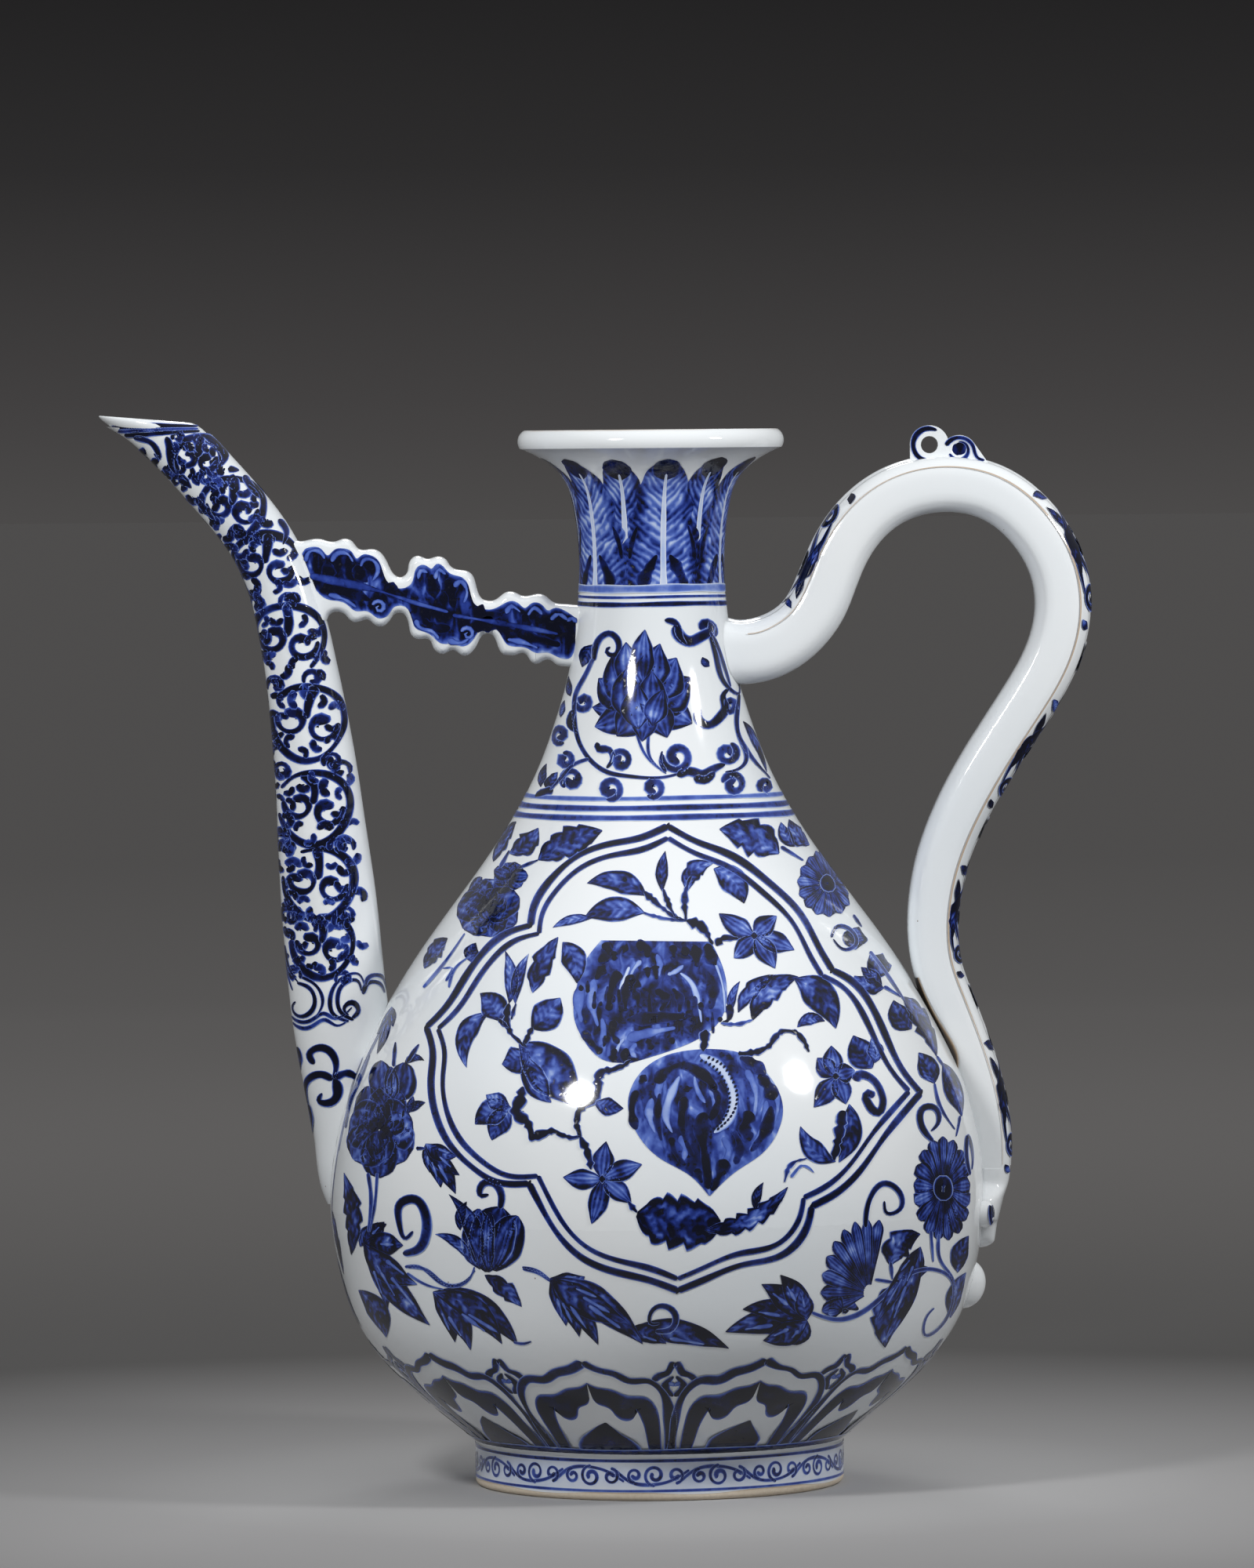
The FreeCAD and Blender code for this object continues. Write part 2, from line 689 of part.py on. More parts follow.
os.makedirs("parts", exist_ok=True)
for name, shape in pieces.items():
    solids = shape.Solids
    piece = solids[0] if len(solids) == 1 else shape
    piece.exportStep("parts/" + name + ".step")
    box = piece.optimalBoundingBox(False, False)
    print(name, "solids", len(solids), "valid", piece.isValid(), "volume cm3", round(piece.Volume / 1000, 2),
          "X", round(box.XMin, 1), round(box.XMax, 1), "Y", round(box.YMin, 1), round(box.YMax, 1),
          "Z", round(box.ZMin, 1), round(box.ZMax, 1))
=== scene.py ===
# %% [markdown]
# A pear-shaped porcelain ewer, painted with cobalt under a clear glaze.
# The shapes of the fired clay come from the CAD frame and stay as they are. This script adds
# what the pot painter and the kiln add: the glossy bluish-white glaze, the bare cream clay
# under the foot, and every mark of the brush.

# %% Load the frame
import json
import math

import bpy
import numpy as np
from mathutils import Euler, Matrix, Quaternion, Vector

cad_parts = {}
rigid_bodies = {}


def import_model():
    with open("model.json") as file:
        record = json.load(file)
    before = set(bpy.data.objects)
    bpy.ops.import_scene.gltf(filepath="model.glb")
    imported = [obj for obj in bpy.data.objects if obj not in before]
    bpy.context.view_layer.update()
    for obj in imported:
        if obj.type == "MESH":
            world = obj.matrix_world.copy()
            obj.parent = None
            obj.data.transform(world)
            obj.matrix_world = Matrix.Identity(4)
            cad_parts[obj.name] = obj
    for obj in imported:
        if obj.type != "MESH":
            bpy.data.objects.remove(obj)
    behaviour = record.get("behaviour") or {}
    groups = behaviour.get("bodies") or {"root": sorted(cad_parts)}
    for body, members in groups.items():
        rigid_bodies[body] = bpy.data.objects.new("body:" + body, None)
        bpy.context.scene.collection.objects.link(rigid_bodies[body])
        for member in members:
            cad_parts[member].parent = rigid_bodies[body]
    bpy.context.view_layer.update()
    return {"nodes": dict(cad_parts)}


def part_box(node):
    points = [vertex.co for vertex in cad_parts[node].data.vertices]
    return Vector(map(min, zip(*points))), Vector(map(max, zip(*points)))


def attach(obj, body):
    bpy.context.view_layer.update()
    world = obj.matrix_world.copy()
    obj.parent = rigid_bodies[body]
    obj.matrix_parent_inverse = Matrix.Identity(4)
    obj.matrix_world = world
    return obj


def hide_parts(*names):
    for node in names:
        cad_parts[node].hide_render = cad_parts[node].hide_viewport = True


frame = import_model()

nodes = frame["nodes"]

# %% [markdown]
# Most marks of the brush are given as points on the photograph. A helper turns its pixels into
# millimetres in the upright plane through the pot's axis. The pot leans a hair to the left
# in the picture, and a small turn takes that out again.

# %% Pixels to millimetres
MM = 0.001
PIXELS_PER_MM = 4.56
PICTURE_MIDDLE, PICTURE_LONG_SIDE = (800, 1000), 2000
AXIS_X, FLOOR_Y = 842, 1893
LEAN = math.radians(0.51)


def from_photo(points):
    """Millimetres right of the axis and above the floor, from pixels right and down."""
    right, down = np.asarray(points, float).reshape(-1, 2).T
    across, up = right - AXIS_X, FLOOR_Y - down
    x = (across * math.cos(LEAN) + up * math.sin(LEAN)) / PIXELS_PER_MM
    z = (up * math.cos(LEAN) - across * math.sin(LEAN)) / PIXELS_PER_MM
    return np.stack([x, z], 1)


print("The picture's middle lies at", from_photo(PICTURE_MIDDLE).round(1), "mm")

# %% [markdown]
# The camera stands level with the rim, almost three metres away with a long lens, and looks
# down by two degrees. Its roll gives back the small lean of the pot in the picture.

# %% Camera
CAMERA_DISTANCE = 2.757
CAMERA_HEIGHT = 0.295
SENSOR = 36


def linked(name, data):
    """New object at the origin, linked into the scene."""
    made = bpy.data.objects.new(name, data)
    bpy.context.scene.collection.objects.link(made)
    return made


aim_x, aim_z = from_photo(PICTURE_MIDDLE)[0] * MM
camera_data = bpy.data.cameras.new("camera")
camera = linked("camera", camera_data)
camera_data.sensor_width = SENSOR
camera_data.lens = SENSOR * CAMERA_DISTANCE / (PICTURE_LONG_SIDE / PIXELS_PER_MM * MM)
camera_data.clip_start, camera_data.clip_end = 0.1, 100
camera.location = (aim_x, -CAMERA_DISTANCE, CAMERA_HEIGHT)
pitch = math.atan2(CAMERA_HEIGHT - aim_z, CAMERA_DISTANCE)
camera.rotation_mode = "QUATERNION"
looking = Euler((math.pi / 2 - pitch, 0, 0)).to_quaternion()
camera.rotation_quaternion = looking @ Quaternion((0, 0, 1), -LEAN)
bpy.context.scene.camera = camera
print("Lens", round(camera_data.lens, 1), "mm, pitch", round(math.degrees(pitch), 2), "degrees")

# %% [markdown]
# Shader trees are easier to read when a node is one line. `add` makes a node and fills or
# links its inputs. The other helpers do the same for the kinds that are used most: sums, mixed
# colours, colour ramps, places and noise.

# %% Helpers for shader nodes


def add(tree, kind, inputs=(), **settings):
    """New node; inputs by name or by order take a number, a colour or another node's socket."""
    made = tree.nodes.new("ShaderNode" + kind)
    for key, value in settings.items():
        setattr(made, key, value)
    pairs = inputs.items() if isinstance(inputs, dict) else enumerate(inputs)
    for key, value in pairs:
        if isinstance(value, bpy.types.NodeSocket):
            tree.links.new(value, made.inputs[key])
        else:
            made.inputs[key].default_value = value
    return made


def calc(tree, operation, *values, clamp=False):
    """Result of a Math node."""
    return add(tree, "Math", values, operation=operation, use_clamp=clamp).outputs[0]


def blend(tree, share, first, second):
    """Colour that lies a share of the way from the first to the second."""
    mix = add(tree, "Mix", {"Factor": share}, data_type="RGBA")
    colours = [socket for socket in mix.inputs if socket.type == "RGBA"]
    for socket, value in zip(colours, (first, second)):
        if isinstance(value, bpy.types.NodeSocket):
            tree.links.new(value, socket)
        else:
            socket.default_value = (*value[:3], 1)
    return [socket for socket in mix.outputs if socket.type == "RGBA"][0]


def ramp(tree, factor, stops):
    """Colour ramp from (place, colour) stops."""
    made = add(tree, "ValToRGB", {"Fac": factor})
    elements = made.color_ramp.elements
    while len(elements) < len(stops):
        elements.new(0.5)
    for element, (place, colour) in zip(elements, stops):
        element.position, element.color = place, (*colour, 1)
    return made.outputs[0]


def place_on(tree):
    """Place on the object in metres."""
    return add(tree, "TexCoord").outputs["Object"]


def noise(tree, place, scale, detail, **more):
    """Soft noise round 0.5, with a scale in waves per metre."""
    inputs = {"Vector": place, "Scale": scale, "Detail": detail, **more}
    return add(tree, "TexNoise", inputs).outputs["Fac"]


def fresh_material(name):
    """Empty node material."""
    made = bpy.data.materials.new(name)
    made.use_nodes = True
    made.node_tree.nodes.clear()
    return made


print("Node helpers:", [helper.__name__ for helper in (add, calc, blend, ramp, place_on, noise)])

# %% [markdown]
# The studio floor carries a painted pool of light: pale round the foot, it falls off into a dark
# room. One large square is enough: its colour depends only on how far from the pot a point lies.

# %% Floor
FLOOR_HALF, FLOOR_RUN = 30.0, 4.0
floor_material = fresh_material("floor")
tree = floor_material.node_tree
away = add(tree, "VectorMath", [place_on(tree)], operation="LENGTH").outputs["Value"]
# Painted light: the floor's colour is a pool of light round the foot that darkens with distance
floor_light_pool = ramp(tree, calc(tree, "DIVIDE", away, FLOOR_RUN), [
    (0.0, (0.50, 0.50, 0.505)), (0.04, (0.27, 0.268, 0.27)), (0.10, (0.10, 0.098, 0.097)),
    (0.22, (0.125, 0.121, 0.119)), (0.55, (0.175, 0.169, 0.166)), (1.0, (0.145, 0.140, 0.138))])
shader = add(tree, "BsdfPrincipled", {"Base Color": floor_light_pool, "Roughness": 0.8,
                                      "Specular IOR Level": 0.0})
add(tree, "OutputMaterial", [shader.outputs[0]])
floor_mesh = bpy.data.meshes.new("floor")
floor_mesh.from_pydata(FLOOR_HALF * np.array([(-1, -1, 0), (1, -1, 0), (1, 1, 0), (-1, 1, 0)]),
                       [], [(0, 1, 2, 3)])
floor_mesh.materials.append(floor_material)
floor = linked("floor", floor_mesh)
print("The floor is", 2 * FLOOR_HALF, "m wide")

# %% [markdown]
# A soft dome lights the pot from above, and the camera sees a darker room in its place. Light
# Path tells the two apart.

# %% World
world = bpy.data.worlds.new("room")
bpy.context.scene.world = world
world.use_nodes = True
tree = world.node_tree
tree.nodes.clear()
way = add(tree, "SeparateXYZ", [add(tree, "TexCoord").outputs["Generated"]]).outputs
dome = ramp(tree, calc(tree, "MULTIPLY_ADD", way["Z"], 0.5, 0.5), [
    (0.0, (0.05, 0.05, 0.05)), (0.5, (0.10, 0.101, 0.102)), (0.75, (0.36, 0.363, 0.366)),
    (1.0, (0.8, 0.8, 0.8))])
seen = ramp(tree, calc(tree, "ADD", way["Z"], 0.02), [
    (0.0, (0.076, 0.073, 0.072)), (0.010, (0.073, 0.070, 0.069)), (0.022, (0.056, 0.053, 0.053)),
    (0.047, (0.026, 0.025, 0.0255)), (0.066, (0.016, 0.0155, 0.016))])
camera_ray = add(tree, "LightPath").outputs["Is Camera Ray"]
background = add(tree, "Background", {"Color": blend(tree, camera_ray, dome, seen)})
add(tree, "OutputWorld", [background.outputs[0]])
bpy.context.scene.view_settings.view_transform = "Standard"
print("World:", world.name, "with", len(tree.nodes), "nodes")

# %% [markdown]
# Two round softboxes stand in front, where the rays mirrored by belly and shoulder meet: their
# white mirror images sit left and right on the belly and draw two streaks on the shoulder. A
# larger one behind the pot lights its upper edges.

# %% Lamps
BELLY_HEIGHT = 0.13


def softbox(name, x, y, z, size, power):
    """Round lamp aimed at the belly."""
    data = bpy.data.lights.new(name, "AREA")
    data.shape, data.size, data.energy = "DISK", size, power
    lamp = linked(name, data)
    lamp.location = (x, y, z)
    away = lamp.location - Vector((0, 0, BELLY_HEIGHT))
    lamp.rotation_mode, lamp.rotation_quaternion = "QUATERNION", away.to_track_quat("Z", "Y")
    lamp.visible_camera = False


softbox("softbox_left", -0.245, -0.432, 0.430, 0.090, 1.7)
softbox("softbox_right", 0.430, -0.271, 0.452, 0.090, 1.65)
softbox("softbox_back", 0.0, 1.4, 1.25, 0.6, 6)
print("Lamps:", [lamp.name for lamp in bpy.data.lights])

# %% [markdown]
# Porcelain glaze is a thin glass over white clay. Three things keep it from looking like
# plastic: a faint blue where it lies thick, a soft unevenness that bends reflections, and a
# few iron specks. They are worked out once in a node group that every finish here shares.

# %% Glaze skin: the shared node group
GLAZE_WHITE, GLAZE_THICK = (0.76, 0.785, 0.80), (0.71, 0.75, 0.78)
IRON, SPECK_SIZE, SPECK_RARE = (0.16, 0.11, 0.08), 0.035, 0.66


def new_group(name, inputs, outputs):
    """Node group with float inputs (name, value) and outputs (name, kind)."""
    group = bpy.data.node_groups.new(name, "ShaderNodeTree")
    for label, value in inputs:
        socket = group.interface.new_socket(label, in_out="INPUT", socket_type="NodeSocketFloat")
        socket.default_value = value
    for label, kind in outputs:
        group.interface.new_socket(label, in_out="OUTPUT", socket_type="NodeSocket" + kind)
    return group, group.nodes.new("NodeGroupInput"), group.nodes.new("NodeGroupOutput")


skin, _, skin_out = new_group(
    "glaze_skin", [], [("Color", "Color"), ("Roughness", "Float"), ("Height", "Float")])
place = place_on(skin)
pools = ramp(skin, noise(skin, place, 14.0, 2.0), [(0.35, (0, 0, 0)), (0.7, (1, 1, 1))])
white = blend(skin, pools, GLAZE_WHITE, GLAZE_THICK)
cells = add(skin, "TexVoronoi", {"Vector": place, "Scale": 150.0}).outputs["Distance"]
speck = calc(skin, "MULTIPLY", calc(skin, "LESS_THAN", cells, SPECK_SIZE),
             calc(skin, "GREATER_THAN", noise(skin, place, 45.0, 1.0), SPECK_RARE))
white = blend(skin, calc(skin, "MULTIPLY", speck, 0.75), white, IRON)
grain = noise(skin, place, 260.0, 2.0)
peel = calc(skin, "MULTIPLY_ADD", grain, 0.04, noise(skin, place, 32.0, 1.0))
skin.links.new(white, skin_out.inputs["Color"])
skin.links.new(calc(skin, "MULTIPLY_ADD", grain, 0.07, 0.045), skin_out.inputs["Roughness"])
skin.links.new(peel, skin_out.inputs["Height"])
print("Glaze skin has", len(skin.nodes), "nodes")

# %% [markdown]
# Cobalt painted under the glaze goes from a pale wash to almost black where the brush was
# full. The wet pigment also heaps in little dark dots that break through the glaze and
# stay duller. The group turns one number, the tone laid down by the brush, into that colour.

# %% Cobalt: from the tone of a mark to its colour
GLAZE_RELIEF = 0.00012
cobalt, cobalt_in, cobalt_out = new_group(
    "cobalt", [("Tone", 0.5)], [("Color", "Color"), ("Heaped", "Float")])
place, tone = place_on(cobalt), cobalt_in.outputs["Tone"]
wet = noise(cobalt, place, 210.0, 3.0, Roughness=0.6)
run = calc(cobalt, "MULTIPLY", calc(cobalt, "SUBTRACT", wet, 0.5), 0.75)
run = calc(cobalt, "MULTIPLY", run, calc(cobalt, "MULTIPLY", tone, 1.3, clamp=True))
dots = calc(cobalt, "MULTIPLY_ADD", noise(cobalt, place, 800.0, 1.0), 5.0, -2.95, clamp=True)
loaded = calc(cobalt, "MULTIPLY_ADD", tone, 4.0, -1.9, clamp=True)
heaped = calc(cobalt, "MULTIPLY", dots, loaded)
tone_here = calc(cobalt, "MULTIPLY", calc(cobalt, "ADD", tone, run), 1.12)
tone_here = calc(cobalt, "MULTIPLY_ADD", heaped, 0.5, tone_here, clamp=True)
cobalt.links.new(ramp(cobalt, tone_here, [
    (0.0, GLAZE_WHITE), (0.16, (0.37, 0.47, 0.72)), (0.36, (0.088, 0.155, 0.50)),
    (0.58, (0.020, 0.044, 0.26)), (0.78, (0.005, 0.011, 0.082)), (1.0, (0.003, 0.004, 0.013))]),
    cobalt_out.inputs["Color"])
cobalt.links.new(heaped, cobalt_out.inputs["Heaped"])


def use_group(tree, group, values=()):
    """Places a node group in a material and returns its outputs."""
    return add(tree, "Group", values, node_tree=group).outputs


def glazed(material, colour, roughness, height):
    """Closes a glazed finish: glass-like gloss over the given colour."""
    tree = material.node_tree
    normal = add(tree, "Bump", {"Strength": 1.0, "Distance": GLAZE_RELIEF, "Height": height})
    shader = add(tree, "BsdfPrincipled", {
        "Base Color": colour, "Roughness": roughness, "Normal": normal.outputs[0],
        "IOR": 1.5, "Coat Weight": 0.0})
    add(tree, "OutputMaterial", [shader.outputs[0]])
    return material


print("Groups:", [group.name for group in bpy.data.node_groups])

# %% [markdown]
# The plain glaze covers handle, loop, strut, spout, neck and belly. The foot is glazed too,
# but its standing edge is wiped clean before firing, so that it does not stick to the kiln
# shelf. There the clay fires to a warm cream with a rusty line where the glaze stops. On the
# lip's crest the glaze runs thin and lets a tan edge through.

# %% Finishes of the CAD pieces
WIPED_LEVEL, WIPED_RAGGED, RUST_HALF = 0.0020, 0.0012, 0.0007
PALE_CLAY, DARK_CLAY, RUST = (0.74, 0.66, 0.54), (0.60, 0.50, 0.38), (0.42, 0.24, 0.12)
LIP_CREST, CREST_SHARPNESS = 0.2945, 1600.0


def level_on(tree):
    """Level above the floor in metres."""
    return add(tree, "SeparateXYZ", [place_on(tree)]).outputs["Z"]


def tan_edged(name, measure_of, edge, patch_scale, patch, tan):
    """White glaze that thins to a patchy tan edge where a measure is high. Edge and patch each
    hold a factor and a shift."""
    material = fresh_material(name)
    tree = material.node_tree
    glaze = use_group(tree, skin)
    patchy = noise(tree, place_on(tree), patch_scale, 2.0)
    thin = calc(tree, "MULTIPLY", calc(tree, "MULTIPLY_ADD", measure_of(tree), *edge, clamp=True),
                calc(tree, "MULTIPLY_ADD", patchy, *patch, clamp=True))
    return glazed(material, blend(tree, thin, glaze["Color"], tan), glaze["Roughness"],
                  glaze["Height"])


glaze_finish = fresh_material("white_glaze_finish")
glaze = use_group(glaze_finish.node_tree, skin)
glazed(glaze_finish, glaze["Color"], glaze["Roughness"], glaze["Height"])

foot_finish = fresh_material("foot_finish")
tree = foot_finish.node_tree
glaze, place, level = use_group(tree, skin), place_on(tree), level_on(tree)
edge_level = calc(tree, "MULTIPLY_ADD", noise(tree, place, 90.0, 3.0), WIPED_RAGGED, WIPED_LEVEL)
bare = calc(tree, "LESS_THAN", level, edge_level)
off_edge = calc(tree, "ABSOLUTE", calc(tree, "SUBTRACT", level, edge_level))
near = calc(tree, "SUBTRACT", 1.0, calc(tree, "DIVIDE", off_edge, RUST_HALF), clamp=True)
sand = noise(tree, place, 900.0, 3.0)
colour = blend(tree, bare, glaze["Color"], blend(tree, sand, DARK_CLAY, PALE_CLAY))
colour = blend(tree, calc(tree, "MULTIPLY", near, 0.45), colour, RUST)
roughness = calc(tree, "MULTIPLY_ADD", bare, 0.6, glaze["Roughness"])
height = calc(tree, "MULTIPLY_ADD", calc(tree, "MULTIPLY", bare, sand), 0.8, glaze["Height"])
glazed(foot_finish, colour, roughness, height)

neck_finish = tan_edged("neck_finish", level_on, (CREST_SHARPNESS, -CREST_SHARPNESS * LIP_CREST),
                        60.0, (2.6, -0.9), (0.40, 0.29, 0.19))


def dress(node, finish):
    """Gives a CAD piece its finish; its mesh stays as the frame has it."""
    mesh = nodes[node].data
    mesh.materials.clear()
    mesh.materials.append(finish)


for name in nodes:
    dress(name, {"foot_ring": foot_finish, "neck": neck_finish}.get(name, glaze_finish))
print("Dressed", len(nodes), "CAD pieces")

# %% [markdown]
# A painter works on the pot itself, so every mark has to lie on the curved clay. Each place
# function takes points of a flat drawing in millimetres and bends them onto one surface,
# lifted off it by a hair. The pot is a turned shape: its outline is read from the frame's
# own mesh as the largest radius at each level, and a smooth line is drawn through it.

# %% Smooth lines and the pot's outline


def running_length(points):
    """Length measured along a chain of points, from zero at its first."""
    return np.concatenate([[0], np.cumsum(np.linalg.norm(np.diff(points, axis=0), axis=1))])


def smooth_line(knots, values):
    """Natural cubic spline: the bends at the knots are solved so that the slope runs on
    evenly. Returns a function that gives value and slope at any place on the line."""
    knots, values = np.asarray(knots, float), np.asarray(values, float)
    values = values.reshape(len(knots), -1)
    gaps = np.diff(knots)[:, None]
    rise = np.diff(values, axis=0) / gaps
    inner = np.arange(1, len(knots) - 1)
    system = np.eye(len(knots))
    system[inner, inner - 1] = gaps[:-1, 0]
    system[inner, inner] = 2 * (gaps[:-1, 0] + gaps[1:, 0])
    system[inner, inner + 1] = gaps[1:, 0]
    asked = np.zeros_like(values)
    asked[1:-1] = 6 * np.diff(rise, axis=0)
    bends = np.linalg.solve(system, asked)

    def at(where):
        where = np.asarray(where, float)
        left = np.clip(np.searchsorted(knots, where) - 1, 0, len(knots) - 2)
        gap, far = gaps[left], (knots[left + 1] - where)[..., None]
        near = (where - knots[left])[..., None]
        value = (bends[left] * far ** 3 + bends[left + 1] * near ** 3) / (6 * gap)
        value += (values[left] / gap - bends[left] * gap / 6) * far
        value += (values[left + 1] / gap - bends[left + 1] * gap / 6) * near
        slope = (bends[left + 1] * near ** 2 - bends[left] * far ** 2) / (2 * gap)
        slope += (values[left + 1] - values[left]) / gap - (bends[left + 1] - bends[left]) * gap / 6
        return value, slope
    return at


def mesh_points(*names):
    """Corners of CAD pieces in millimetres."""
    found = []
    for name in names:
        mesh = nodes[name].data
        flat = np.empty(len(mesh.vertices) * 3)
        mesh.vertices.foreach_get("co", flat)
        found.append(flat.reshape(-1, 3) / MM)
    return np.concatenate(found)


def turned_outline(names, low, high, step):
    """Smooth line of a turned wall's radius by level, through its outermost corners near levels
    a step apart."""
    points = mesh_points(*names)
    radius, level = np.hypot(points[:, 0], points[:, 1]), points[:, 2]
    knots, radii = [], []
    for aimed in np.linspace(low, high, int((high - low) / step) + 1):
        near = np.abs(level - aimed) < max(step / 4, 0.6)
        best = np.flatnonzero(near)[radius[near].argmax()]
        if knots and level[best] - knots[-1] < 0.2:
            continue
        knots.append(level[best])
        radii.append(radius[best])
    return smooth_line(knots, radii)


SEAT, COLLAR, NECK_LOW, NECK_HIGH = 12.0, 245.6, 250.2, 289.9
body_outline = turned_outline(["lower_body", "upper_body"], SEAT, COLLAR, 8)
neck_outline = turned_outline(["neck"], NECK_LOW, NECK_HIGH - 0.2, 5)
print("Radii of the body:", body_outline([20, 78, 150, 220])[0][:, 0].round(2))
print("Radii of the neck:", neck_outline([252, 270, 286])[0][:, 0].round(2))

# %% [markdown]
# Two ways of placing a drawing on the turned wall. Seen from the front, a point keeps its
# place in the picture and only gains its depth: that suits what the photograph shows face
# on. Wrapped round the pot, a drawing keeps its true lengths: that suits borders and
# whatever turns away towards the sides.

# %% Places on the turned pot


def lifted(x, y, z, outline, level, lift):
    """Moves points of a turned wall outwards, square to the wall."""
    slope = outline(level)[1][..., 0]
    length = np.sqrt(1 + slope ** 2)
    radius = np.maximum(np.hypot(x, y), 1e-6)
    out = lift / length
    return np.stack([x * (1 + out / radius), y * (1 + out / radius), z - out * slope], -1)


EYE_X, EYE_Z, EYE_AWAY = camera.location.x / MM, CAMERA_HEIGHT / MM, CAMERA_DISTANCE / MM
EVEN_FROM, LAST_ANGLE = 0.9, 1.54


def turned_away(share):
    """Angle from the middle of what is seen, for a share of the radius. Near the outline the
    angle grows evenly, so that marks drawn there keep their shape as they go round the side."""
    size = np.abs(share)
    angle = np.arcsin(np.minimum(size, EVEN_FROM))
    angle += np.maximum(size - EVEN_FROM, 0) / math.sqrt(1 - EVEN_FROM ** 2)
    return np.sign(share) * np.minimum(angle, LAST_ANGLE)


def from_front(outline, side):
    """Drawing seen by an eye where the photograph was taken (side -1), or the same one mirrored
    on the back (side 1). Nearer clay looks larger, so the depth is found by going round."""
    def place(drawing, lift):
        depth = 0.0
        for _ in range(8):
            nearer = 1 - depth / EYE_AWAY
            x = EYE_X + (drawing[..., 0] - EYE_X) * nearer
            z = EYE_Z + (drawing[..., 1] - EYE_Z) * nearer
            radius = outline(z)[0][..., 0]
            angle = turned_away(x / radius)
            depth = radius * np.cos(angle)
        return lifted(radius * np.sin(angle), side * depth, z, outline, z, lift)
    return place


def wall_length(outline, low, high):
    """Level at each length measured up along a wall's outline."""
    level = np.linspace(low, high, 400)
    radius = outline(level)[0][:, 0]
    return running_length(np.stack([level, radius], 1)), level


def wrapped(outline, low, high, turn, start):
    """Drawing wrapped round the pot. Its zero lies a turn in degrees to the right of the front
    and at the level start; right and up are measured along the wall."""
    length, level = wall_length(outline, low, high)
    zero = np.interp(start, level, length)

    def place(drawing, lift):
        z = np.interp(zero + drawing[..., 1], length, level)
        radius = outline(z)[0][..., 0]
        angle = math.radians(turn) + drawing[..., 0] / radius
        return lifted(radius * np.sin(angle), -radius * np.cos(angle), z, outline, z, lift)
    return place


def round_pot(outline):
    """Drawing of angles in degrees and true levels, for rings."""
    def place(drawing, lift):
        angle, z = np.radians(drawing[..., 0]), drawing[..., 1]
        radius = outline(z)[0][..., 0]
        return lifted(radius * np.sin(angle), -radius * np.cos(angle), z, outline, z, lift)
    return place


print("Length of the body's wall:", wall_length(body_outline, SEAT, COLLAR)[0][-1].round(1), "mm")

# %% [markdown]
# Every mark of the brush is a small curved sheet of two parameters: one runs along the
# stroke, one across it. It carries the tone that the brush left there, and a map of its own
# for the veins of leaves and the streaks of petals. Marks of one part of the painting are
# gathered and become one piece.

# %% Gathering marks
painting = {}
LINE, LEAF, PETAL, FRUIT, PLANTAIN, STAIN_AND_SHADE = range(6)
hand = np.random.default_rng(5)


def lay(piece, place, grid, tone, along, across, lift, finish=LINE):
    """Lays a mark: grid holds its drawn points, rows along and columns across. The way out of
    the clay is found by lifting the same points a little further."""
    low = place(grid, lift)
    out = place(grid, lift + 0.5) - low
    out /= np.linalg.norm(out, axis=-1, keepdims=True)
    shape = grid.shape[:2]
    maps = np.stack([np.broadcast_to(along, shape), np.broadcast_to(across, shape)], -1)
    painting.setdefault(piece, []).append((low, out, np.broadcast_to(tone, shape), maps, finish))


def wobble(share, amount):
    """Uneven hand: three slow waves with random starts, about 1 in the middle."""
    total = np.ones_like(share)
    for wave in (1, 2, 3):
        total = total + amount / wave * np.sin(2 * math.pi * (wave * share + hand.random()))
    return total


print("Kinds of finish for a mark:", STAIN_AND_SHADE + 1)

# %% [markdown]
# A line is the commonest mark. Its middle is a smooth curve through the points where the eye
# sees the brush pass; its width swells and thins as a hand presses and lifts.

# %% Brush lines


def drawn_curve(points, spacing=1.0, closed=False):
    """Even places along a smooth curve through points, with the way across at each."""
    points = np.asarray(points, float)
    if closed:
        points = np.concatenate([points[-3:-1], points, points[1:3]])
    knots = np.concatenate([[0], np.cumsum(np.maximum(
        np.linalg.norm(np.diff(points, axis=0), axis=1), 1e-3))])
    low, high = (knots[2], knots[-3]) if closed else (0, knots[-1])
    count = max(5, int((high - low) / spacing) + 1)
    share = np.linspace(0, 1, count)
    value, slope = smooth_line(knots, points)(low + (high - low) * share)
    slope /= np.maximum(np.linalg.norm(slope, axis=1, keepdims=True), 1e-9)
    return share, value, np.stack([-slope[:, 1], slope[:, 0]], 1)


# Places and tones across one brush line: the pigment thins out at both edges
ACROSS_LINE = np.array([-1.25, -0.78, -0.3, 0.3, 0.78, 1.25])
TONE_ACROSS = np.array([0, 0.84, 1.0, 1.0, 0.84, 0])
KNOT_SPACING = 2.9


